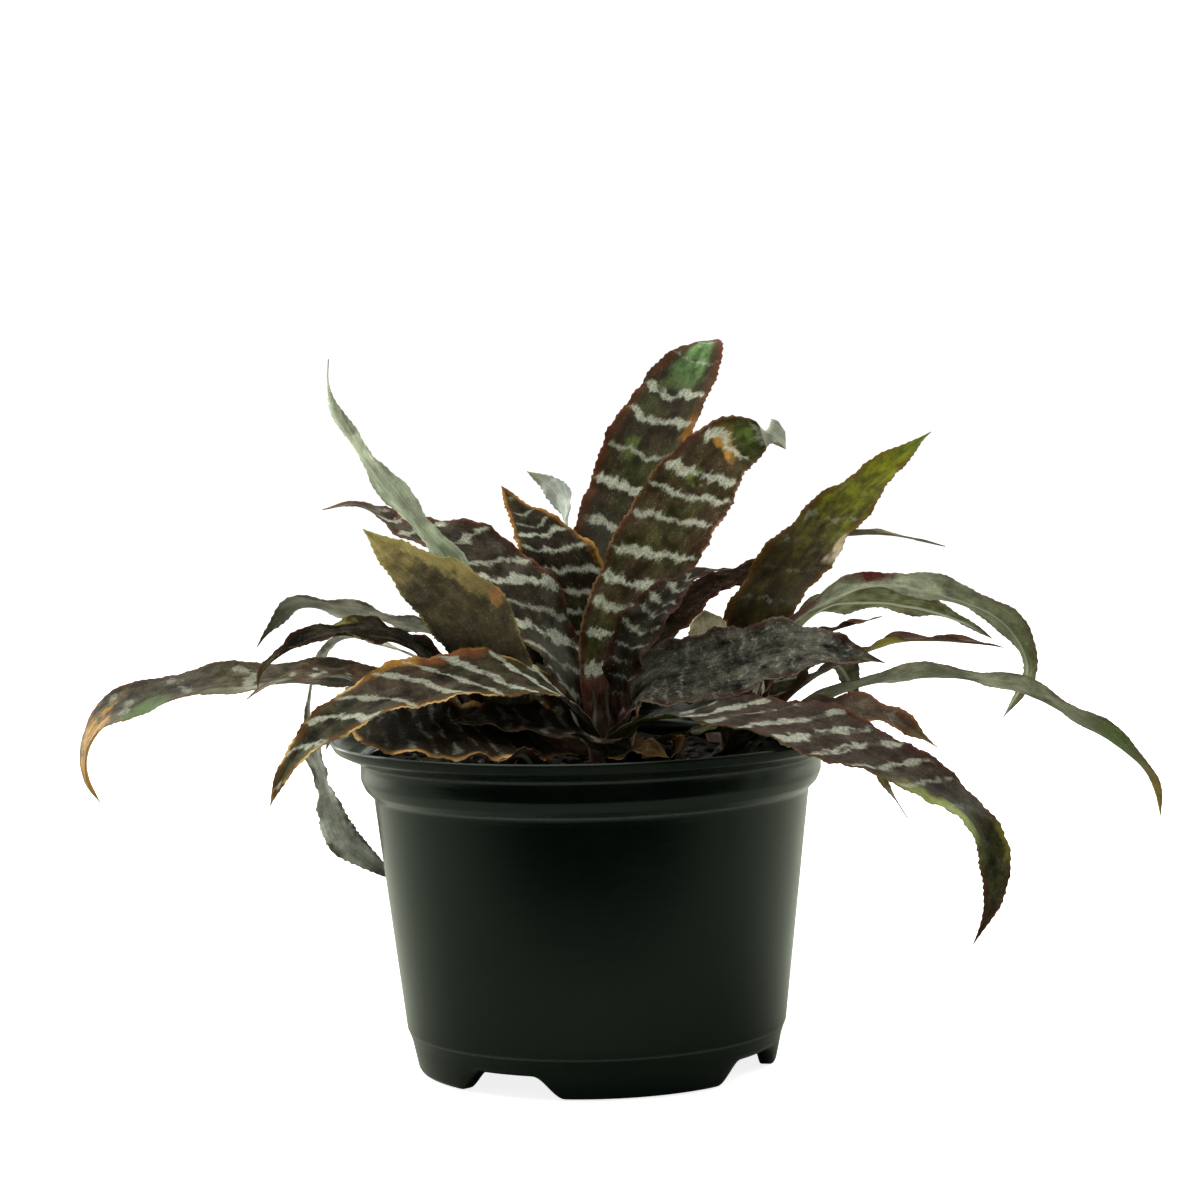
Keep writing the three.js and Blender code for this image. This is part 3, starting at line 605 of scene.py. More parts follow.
def make_pot(sides=288):
    """The pot as one turned shell: outside, lip, inside and underside, with foot notches and drain holes."""
    foot_inside = FOOT_RADIUS - FOOT_WIDTH
    outer = [
        (FOOT_RADIUS - 0.5, 0), (FOOT_RADIUS + 0.3, 0.3), (FOOT_RADIUS + 0.9, 1.2),
        (SKIRT_RADIUS, SKIRT_TOP), (STEP_RADIUS - 0.1, STEP_TOP - 0.4), (STEP_RADIUS + 0.35, STEP_TOP + 0.5),
        (WALL_TOP_RADIUS - 0.4, WALL_TOP - 1), (WALL_TOP_RADIUS + 0.2, WALL_TOP),
        (BAND_RADIUS - 1.4, WALL_TOP + 2.2), (BAND_RADIUS, BAND_FOOT), (BAND_RADIUS, BAND_TOP - 0.6),
        (BAND_RADIUS + 1.2, BAND_TOP), (LIP_RADIUS - 5, BAND_TOP + 1.8),
        (LIP_RADIUS - 1.6, LIP_HEIGHT - 3.6),
        (LIP_RADIUS, LIP_HEIGHT - 0.8), (LIP_RADIUS - 0.8, LIP_HEIGHT), (LIP_RADIUS - 3.2, LIP_HEIGHT - 2.6),
        (LIP_RADIUS - 6.4, LIP_HEIGHT - 4.8), (BAND_RADIUS - 0.6, BAND_TOP + 1.6),
        (BAND_RADIUS - WALL, BAND_TOP), (BAND_RADIUS - WALL, BAND_FOOT + 0.6),
        (WALL_TOP_RADIUS - WALL, WALL_TOP), (STEP_RADIUS - WALL, STEP_TOP), (SKIRT_RADIUS - WALL, FLOOR_TOP),
        (DRAIN_FAR, FLOOR_TOP), (DRAIN_NEAR, FLOOR_TOP), (0.02, FLOOR_TOP),
    ]
    under = [
        (0.02, FLOOR_UNDER), (DRAIN_NEAR, FLOOR_UNDER), (DRAIN_FAR, FLOOR_UNDER), (foot_inside, FLOOR_UNDER),
        (foot_inside, 0.3), (foot_inside + 0.3, 0), (FOOT_RADIUS - 0.5, 0),
    ]
    profile = np.vstack([refine(outer), refine(under)[:-1]])
    rows = len(profile)
    angle = round_angles(sides)
    radius = np.repeat(profile[:, 0][:, None], sides, 1)
    height = np.repeat(profile[:, 1][:, None], sides, 1)
    ring = (profile[:, 1] < SKIRT_TOP - 0.2) & (profile[:, 0] > foot_inside - 0.01)
    height[ring] += foot_height(angle)[None, :] * (1 - profile[ring, 1] / 8.4)[:, None].clip(0, 1)
    # The thin wall is never perfectly round.
    wobble = 0.25 * np.sin(2 * angle + 0.6) + 0.12 * np.sin(5 * angle + 1.9)
    radius += wobble[None, :] * (profile[:, 1] / LIP_HEIGHT)[:, None]
    verts = np.stack([radius * np.cos(angle), radius * np.sin(angle), height], -1).reshape(-1, 3)
    index = np.arange(rows * sides).reshape(rows, sides)
    following = np.roll(index, -1, 1)
    turn = (angle * DRAINS / (2 * np.pi)) % 1
    hole = (turn < DRAIN_HALF_SHARE) | (turn > 1 - DRAIN_HALF_SHARE)
    faces = []
    for r in range(rows):
        n = (r + 1) % rows
        quad = np.stack([index[r], following[r], following[n], index[n]], -1)
        near, far = sorted((profile[r, 0], profile[n, 0]))
        flat = abs(profile[r, 1] - profile[n, 1]) < 0.01
        if flat and DRAIN_NEAR - 0.1 <= near and far <= DRAIN_FAR + 0.1:
            quad = quad[~hole]
        faces.append(quad)
    obj = add_mesh("pot_shell", verts, np.concatenate(faces).tolist(), crease=38)
    give(obj, "pot_mm", verts)
    return obj


# ------------------------------------------------------------------ soil

def lump(centre, size, seed, rings=3, sides=6):
    """A small uneven grain: points and faces."""
    rng = np.random.default_rng(seed)
    points, faces = [], []
    for i in range(rings):
        tilt = math.pi * (i + 0.6) / (rings + 0.2)
        for j in range(sides):
            turn = 2 * math.pi * (j + 0.5 * i) / sides
            points.append([math.sin(tilt) * math.cos(turn), math.sin(tilt) * math.sin(turn), math.cos(tilt)])
    points += [[0, 0, 1], [0, 0, -1]]
    points = np.array(points) * (0.75 + 0.5 * rng.random((len(points), 1)))
    a, b = rng.random(2) * TURN
    spin = np.array(Matrix.Rotation(a, 3, "Z") @ Matrix.Rotation(b, 3, "X"))
    points = (points * np.asarray(size)) @ spin.T + centre
    top, low = rings * sides, rings * sides + 1
    for j in range(sides):
        k = (j + 1) % sides
        faces.append([top, j, k])
        for i in range(rings - 1):
            faces.append([i * sides + j, (i + 1) * sides + j, (i + 1) * sides + k, i * sides + k])
        faces.append([low, (rings - 1) * sides + k, (rings - 1) * sides + j])
    return points, faces


def soil_height(x, y):
    lumps = np.sin(x / 7 + y / 11) * np.cos(y / 6 - x / 17) + 0.5 * np.sin(x / 3.7 - y / 4.3)
    return SOIL_TOP + lumps + 1.1 * ground_noise(x, y, seed=5, octaves=6, base=0.045)


# Loose bits: how many, grit's share of them, and bark's share of those that are not grit.
BITS, GRIT_SHARE, BARK_SHARE = 620, 0.24, 0.6
PLAIN, BARK, GRIT = 0.0, 1.0, 2.0


def make_soil(rings=74, sides=200):
    """The root ball as one closed body, with its uneven top and loose bits of bark and grit lying on it."""
    outer = BAND_RADIUS - WALL - 0.35
    bottom = FLOOR_TOP + 0.35
    radius = outer * (np.arange(1, rings + 1) / rings)
    angle = round_angles(sides)
    x = radius[:, None] * np.cos(angle)
    y = radius[:, None] * np.sin(angle)
    z = soil_height(x, y)
    z[-1] = SOIL_TOP - 0.6
    wall = [(outer, BAND_FOOT + 1.4), (WALL_TOP_RADIUS - WALL - 0.4, WALL_TOP),
            (STEP_RADIUS - WALL - 0.4, STEP_TOP), (SKIRT_RADIUS - WALL - 0.5, bottom), (20.0, bottom)]
    hoops = [np.stack([r * np.cos(angle), r * np.sin(angle), np.full(sides, h)], -1) for r, h in wall]
    grid = np.stack([x, y, z], -1).reshape(-1, 3)
    body = np.vstack([grid, *hoops, [[0, 0, SOIL_TOP + 0.4]], [[0, 0, bottom]]])
    rows = rings + len(wall)
    index = np.arange(rows * sides).reshape(rows, sides)
    following = np.roll(index, -1, 1)
    faces = np.stack([index[:-1], index[1:], following[1:], following[:-1]], -1).reshape(-1, 4).tolist()
    top, low = rows * sides, rows * sides + 1
    faces += [[top, int(a), int(b)] for a, b in zip(index[0], following[0])]
    faces += [[low, int(b), int(a)] for a, b in zip(index[-1], following[-1])]
    verts, bits, count = [body], [np.zeros((len(body), 3))], len(body)
    for i in range(BITS):
        r = (outer - 2.5) * math.sqrt(RNG.random())
        turn = RNG.random() * TURN
        px, py = r * math.cos(turn), r * math.sin(turn)
        kind = GRIT if RNG.random() < GRIT_SHARE else (BARK if RNG.random() < BARK_SHARE else PLAIN)
        big = RNG.uniform(0.5, 1.5) * (1.25 if kind == BARK else 1.0)
        shape = (big * RNG.uniform(0.9, 2.2 if kind == BARK else 1.3), big, big * RNG.uniform(0.4, 0.9))
        pz = float(soil_height(np.array(px), np.array(py))) + big * 0.15
        p, f = lump((px, py, pz), shape, 1000 + i)
        verts.append(p)
        faces += [[q + count for q in face] for face in f]
        count += len(p)
        bits.append(np.tile([kind, RNG.random(), 0.0], (len(p), 1)))
    verts = np.vstack(verts)
    obj = add_mesh("soil_mix", verts, faces, crease=60)
    give(obj, "pot_mm", verts)
    give(obj, "bit", np.vstack(bits))
    return obj


# ---------------------------------------------------------------- crowns

# Each young leaf stands this many degrees further round than the last.
YOUNG_LEAVES, YOUNG_TURN = 7, 137.5


def make_crown(name, place, seed, sides=24):
    """A short stem wrapped in young leaves that stand up from its top."""
    parts, faces, mm, pos = [], [], [], []
    count = 0
    x, y = place
    for i in range(YOUNG_LEAVES):
        turn = math.radians(45 + YOUNG_TURN * i)
        away = 0.4 + 0.42 * i
        out = np.array([math.cos(turn), math.sin(turn)])
        height = 129 - 1.6 * i
        path = []
        for t, z in ((0.25, 96), (0.8, 106), (1.05, 114), (0.9, height - 5), (1.25, height)):
            r = (1.4 + away) * t
            path.append([x + r * out[0], y + r * out[1], z, 0])
        young = dict(heading=math.degrees(turn), width=5.2 + 0.75 * i, widest=0.35, tip=1.9, base=0.9,
                     cup=0.42, ruffle=0.2, fine=0.2, tooth=0.3, path=path)
        v, f, m, p, _ = blade(young, seed + i, spacing=1.1, columns=9)
        parts.append(v)
        faces += (f + count).tolist()
        mm.append(m)
        pos.append(p)
        count += len(v)
    stem = [(0.01, STEM_FOOT), (4.4, STEM_FOOT), (4.5, 104), (3.8, 112), (2.2, 117), (0.01, 119)]
    angle = round_angles(sides)
    ring = np.array([[x + r * math.cos(a), y + r * math.sin(a), z] for r, z in stem for a in angle])
    index = np.arange(len(ring)).reshape(len(stem), sides) + count
    following = np.roll(index, -1, 1)
    faces += np.stack([index[:-1], following[:-1], following[1:], index[1:]], -1).reshape(-1, 4).tolist()
    parts.append(ring)
    up, none = ring[:, 2] - STEM_FOOT, np.zeros(len(ring))
    mm.append(np.stack([ring[:, 0] - x, up, none], 1))
    pos.append(np.stack([up / 60, none + 0.3, none + 1], 1))
    obj = add_mesh(name, np.vstack(parts), faces, crease=48)
    give(obj, "leaf_mm", np.vstack(mm))
    give(obj, "leaf_pos", np.vstack(pos))
    return obj


# The leaves' shapes: heading and roll in degrees, sizes in millimetres, each path point (x, y, z, roll) in
# the pot's frame, and the outline's other numbers as LEAF_SHAPE has them.
LEAVES = {
    "main_leaf_tall_back": dict(heading=72, width=28.5, widest=0.5, tip=4.2,
        path=[(4, 6.8, 111, 0), (5, 20, 142, 0), (10.5, 33, 172, 0), (21.5, 46, 202, 0), (36.5, 59, 226, 0),
              (42.8, 67, 235.3, 0), (45.5, 78, 238, 0)]),
    "main_leaf_tall_front": dict(heading=78, width=29.5, widest=0.55, tip=2.3,
        path=[(7.2, 5, 115, 0), (8, 7, 138, 0), (20.5, 10, 164, 0), (36.5, 14, 189, 0), (45.5, 16, 200, 0),
              (54, 17, 205.5, 20), (63, 15, 207.5, 35), (67.5, 12, 202, 0)]),
    "main_leaf_broad": dict(heading=98, width=34, widest=0.46, tip=1.1,
        path=[(-2, 5.6, 111, 0), (-6, 12, 136, 0), (-8, 17, 158, 0), (-11, 22, 169, 0), (-17, 31, 177, 0),
              (-24, 40, 184.5, 0), (-28, 46, 190.5, 0)]),
    "main_leaf_arching": dict(heading=176, width=29.0, widest=0.4, base=0.95, tip=1.25,
        path=[(-2.8, -0.6, 109, 0), (-9, -1, 133, -20), (-22, 0, 156, -42), (-39, 4, 172, -38),
              (-60, 5, 180, -25), (-75, 8, 187.5, -15), (-87, 12, 186, 0)]),
    "main_leaf_dark": dict(heading=-10, width=31.0, widest=0.5, base=1.0,
        path=[(10.2, -1.6, 110, 0), (18, -4, 126, 25), (33, -9, 130, 40), (50, -13, 133, 40),
              (64, -15, 137, 38), (80, -16, 137, 30), (97, -16, 133, 20)]),
    "main_leaf_small": dict(heading=30, width=16, widest=0.45,
        path=[(9.4, 0, 113, 0), (13, -4, 137, 20), (20, -5, 148, 30), (30, -4, 158, 20), (39, -3, 163, 0),
              (48, -2, 164, 0)]),
    "main_leaf_strap": dict(heading=32, width=15, widest=0.35,
        path=[(9, 4.4, 108, 0), (20, 13, 132, 0), (36, 33, 149.5, 10), (57, 55, 159, 10), (81, 66, 168, 0),
              (104, 76, 169, 0), (127, 84, 163.5, 0)]),
    "main_leaf_long_front": dict(heading=-35, width=27, widest=0.42, tip=1.6, fine=0.4,
        path=[(8.4, -5.4, 106, 0), (16, -16, 115, 5), (30, -26, 118.5, 8), (46, -36, 119.5, 14),
              (66, -49, 116, 20), (83, -58, 110.5, 21), (96, -64, 104.5, 17), (107, -68, 99, 10),
              (116, -70.5, 92.5, 6), (122.5, -72, 84, 16), (125.3, -72, 73, 32), (124.5, -71.5, 62, 36),
              (118.5, -70, 48.5, 30)]),
    "main_leaf_front_left": dict(heading=206, width=25, widest=0.4, fine=0.4,
        path=[(-0.4, -6, 107, 0), (-6, -17, 122, -12), (-20, -28, 131, -26), (-40, -35, 133, -30),
              (-62, -41, 130, -30), (-83, -48, 120, -30), (-96, -53, 108, -28), (-102, -54, 96, -20)]),
    "main_leaf_under": dict(heading=222, width=24, widest=0.55,
        path=[(6.2, -6.8, 102, 0), (6, -18, 108.5, 0), (-6, -29, 114.5, -22), (-26, -34, 119, -25),
              (-44, -42, 120, -15)]),
    "main_leaf_silver_back": dict(heading=105, width=16, widest=0.6,
        path=[(0.5, 9.4, 108, 0), (-1.5, 31, 138, 0), (-5, 50, 163, 40), (-7.5, 62, 183, 100),
              (-12.5, 70, 189.5, 130), (-19.6, 76, 193.5, 150)]),
    "main_leaf_low_tip": dict(heading=-28, width=11, widest=0.4,
        path=[(10, -3.5, 104, 0), (38, -17, 112, 0), (70, -37, 114, 0), (85, -44, 108, 0), (94, -46, 97, 0),
              (101, -46, 86, 0)]),
    "main_leaf_rear": dict(heading=86, width=25, widest=0.5,
        path=[(7, 7.4, 102, 0), (8, 38, 119, 0), (9, 70, 125, 10), (11, 98, 117, 5), (13, 118, 98, 0)]),
    "main_leaf_rear_left": dict(heading=122, width=23, widest=0.5,
        path=[(-3, 4.6, 102, 0), (-15, 34, 116, 0), (-30, 62, 122, -10), (-42, 86, 113, 0),
              (-49, 99, 96, 0)]),
    "left_leaf_upright": dict(heading=168, width=15.5, widest=0.6, base=0.25, rise=3.5, tip=1.15, fine=0.2,
        path=[(-26, 1.8, 111, 20), (-30, 0.6, 130, 25), (-35, -10, 154, 32), (-43.5, -16, 169, 36),
              (-61, -17, 190, 44), (-73.5, -15, 208, 44), (-80.5, -13, 220, 40), (-82, -13, 229, 35),
              (-81.5, -13, 236, 30)]),
    "left_leaf_olive": dict(heading=200, width=27.0, widest=0.46, base=1.0, tip=1.6, fine=0.3,
        path=[(-29.6, -11.3, 111, 10), (-31, -13, 130, 40), (-38.5, -17, 150.5, 60), (-47, -22, 160, 60),
              (-57, -27, 168.5, 55), (-71, -34, 182, 50)]),
    "left_leaf_grey": dict(heading=178, width=14, widest=0.7, base=0.12, rise=3, fine=0.12, tooth=0.8,
        path=[(-31.6, -2.4, 111, 10), (-36, 6, 130, 15), (-45, 11, 140.5, 20), (-60, 13, 146.5, 25),
              (-80, 12, 151.5, 25), (-96, 10, 154, 25), (-106, 8, 146, 25), (-110, 7, 141, 25)]),
    "left_leaf_toothed": dict(heading=185, width=20, widest=0.6, tooth=0.9,
        path=[(-32.6, -7, 106, -5), (-42, -4, 123, -8), (-56, -2, 139.5, -13), (-73, -2, 145.5, -13),
              (-91, -4, 144.5, -10), (-107, -6, 135, -10), (-109, -7, 129, -10)]),
    "left_leaf_long": dict(heading=177, width=23, widest=0.72, tip=2.4, fine=0.12,
        path=[(-32, -4.6, 103, 0), (-46, 4, 120, -10), (-68, 6, 129, -15), (-95, 6, 130.5, -18),
              (-119, 6, 129.5, -18), (-147, 8, 124, -22), (-161.5, 9, 117.5, -22), (-168, 9, 107, -20),
              (-168, 9, 98, -15), (-164, 9, 89.5, -10)]),
    "left_leaf_mottled": dict(heading=186, width=14, widest=0.5, fine=0.2,
        path=[(-31, -9.6, 103, 0), (-48, -16, 121, -10), (-67, -17, 130, -15), (-88, -17, 134, -15),
              (-104, -15, 131, -10), (-112, -14, 126, 0)]),
    "left_leaf_hanging": dict(heading=160, width=11.5, widest=0.84, base=0.28, rise=13, tip=1.5,
        path=[(-29.2, 0.2, 107, 0), (-44, 18, 125, 0), (-66, 29, 138, 0), (-82, 33, 141, 0),
              (-91, 34, 134, 0), (-95.4, 35, 119, 5), (-94, 36, 102, 0), (-91.5, 36.5, 91, 5),
              (-89, 37.5, 82, 30), (-85.5, 40, 72, 40), (-78, 44, 64, 40), (-66, 48, 54, 35)]),
    "left_leaf_rear": dict(heading=132, width=22, widest=0.5,
        path=[(-24.4, 1.4, 101.8, 0), (-41, 26, 113, 0), (-65, 49, 122, 0), (-83, 73, 114, 0),
              (-94, 87, 96, 0)]),
    "right_leaf_olive": dict(heading=58, width=27, widest=0.46, tip=1.75, fine=0.3,
        path=[(50.4, 20, 112, 0), (53, 25, 134, 0), (64, 30, 153, 0), (85, 40, 176, 0), (105, 50, 194, 0),
              (120, 57, 205, 0)]),
    "right_leaf_curled": dict(heading=10, width=17, widest=0.62, fine=0.12,
        path=[(54, 14.6, 111, 0), (61, 14, 134, -15), (71, 14, 146, -24), (95, 18, 156, -26),
              (119, 20, 152, -26), (140, 20, 142, -24), (148, 18, 126, -20), (139, 16, 110, -10)]),
    "right_leaf_midrib": dict(heading=20, width=22, widest=0.42, tip=1.35, fine=0.15,
        path=[(53, 18.4, 108, 0), (64, 29, 131, -20), (80, 39, 146.5, -30), (97, 43, 148, -32),
              (115, 46, 145, -32), (128, 47, 140.5, -25), (139, 47, 134, -20)]),
    "right_leaf_red": dict(heading=-8, width=17.0, widest=0.5, base=1.0, fine=0.2,
        path=[(53.8, 7.8, 105.8, 0), (70, 4.4, 123.4, 0), (90, 4, 134, 0), (104, 5, 138, 0),
              (127, 6, 137, 0), (138, 6, 135, 0)]),
    "right_leaf_long": dict(heading=-3, width=18, widest=0.66, base=1.0, tip=2.3, fine=0.12,
        path=[(52, 6.6, 102, 0), (68, 0, 115, -8), (92, -4, 125, -17), (114, -4, 127, -18),
              (138, -2, 123, -18), (157, 2, 114, -18), (174, 4, 103, -18), (187, 6, 90, -15),
              (190, 6, 77, -10)]),
    "right_leaf_low": dict(heading=-30, width=17, widest=0.55, base=1.0, fine=0.3,
        path=[(47.4, 6, 102, 0), (58, -11, 113, 0), (80, -26, 120, 15), (98, -31, 116, 20),
              (112, -33, 107, 10)]),
    "right_leaf_strip": dict(heading=2, width=9, widest=0.5,
        path=[(55.4, 11, 110, 0), (63, 7, 129, 0), (76, 7, 140, 0), (98, 9, 146, 0)]),
    "right_leaf_short": dict(heading=96, width=14, widest=0.7, tip=3.5,
        path=[(42.8, 17.3, 109, 0), (41.5, 21.5, 128, 0), (40.5, 20.5, 141, 0), (39.5, 18, 148.5, 0)]),
    "right_leaf_rear_right": dict(heading=62, width=23, widest=0.5,
        path=[(51.5, 20, 103, 0), (63, 46, 119, 0), (79, 78, 127, 0), (92, 104, 118, 0),
              (97, 114, 104, 0)]),
    "right_leaf_rear": dict(heading=92, width=21, widest=0.5,
        path=[(46, 20.4, 103, 0), (43, 50, 116, 0), (41, 82, 119, 0), (39, 104, 104, 0), (38, 112, 90, 0)]),
    "dead_leaf_rim": dict(heading=190, width=29, widest=0.6, tip=3.2, fine=0.8,
        path=[(-8, -26, 108, -10), (-24, -35, 113, -30), (-44, -40, 116, -35), (-62, -39, 118, -35),
              (-77, -33, 118, -30)]),
    "dead_leaf_curl": dict(heading=250, width=10, widest=0.5,
        path=[(-20, -20, 102, 0), (-19, -40, 103, 10), (-18, -56, 106, 20), (-22, -66, 112, 40),
              (-29, -67, 110, 60)]),
    "dead_leaf_scrap": dict(heading=-62, width=11, widest=0.6,
        path=[(15, -15, 102, 0), (12, -28, 104, 10), (11, -41, 108, 25), (18, -49, 111, 35),
              (25, -52, 108, 20)]),
    "dead_leaf_twist": dict(heading=-60, width=11, widest=0.6,
        path=[(18, -12, 102, 10), (24, -26, 104.5, 30), (27, -38, 107.5, 60), (29, -44, 112, 70),
              (32, -45, 116, 40)]),
}

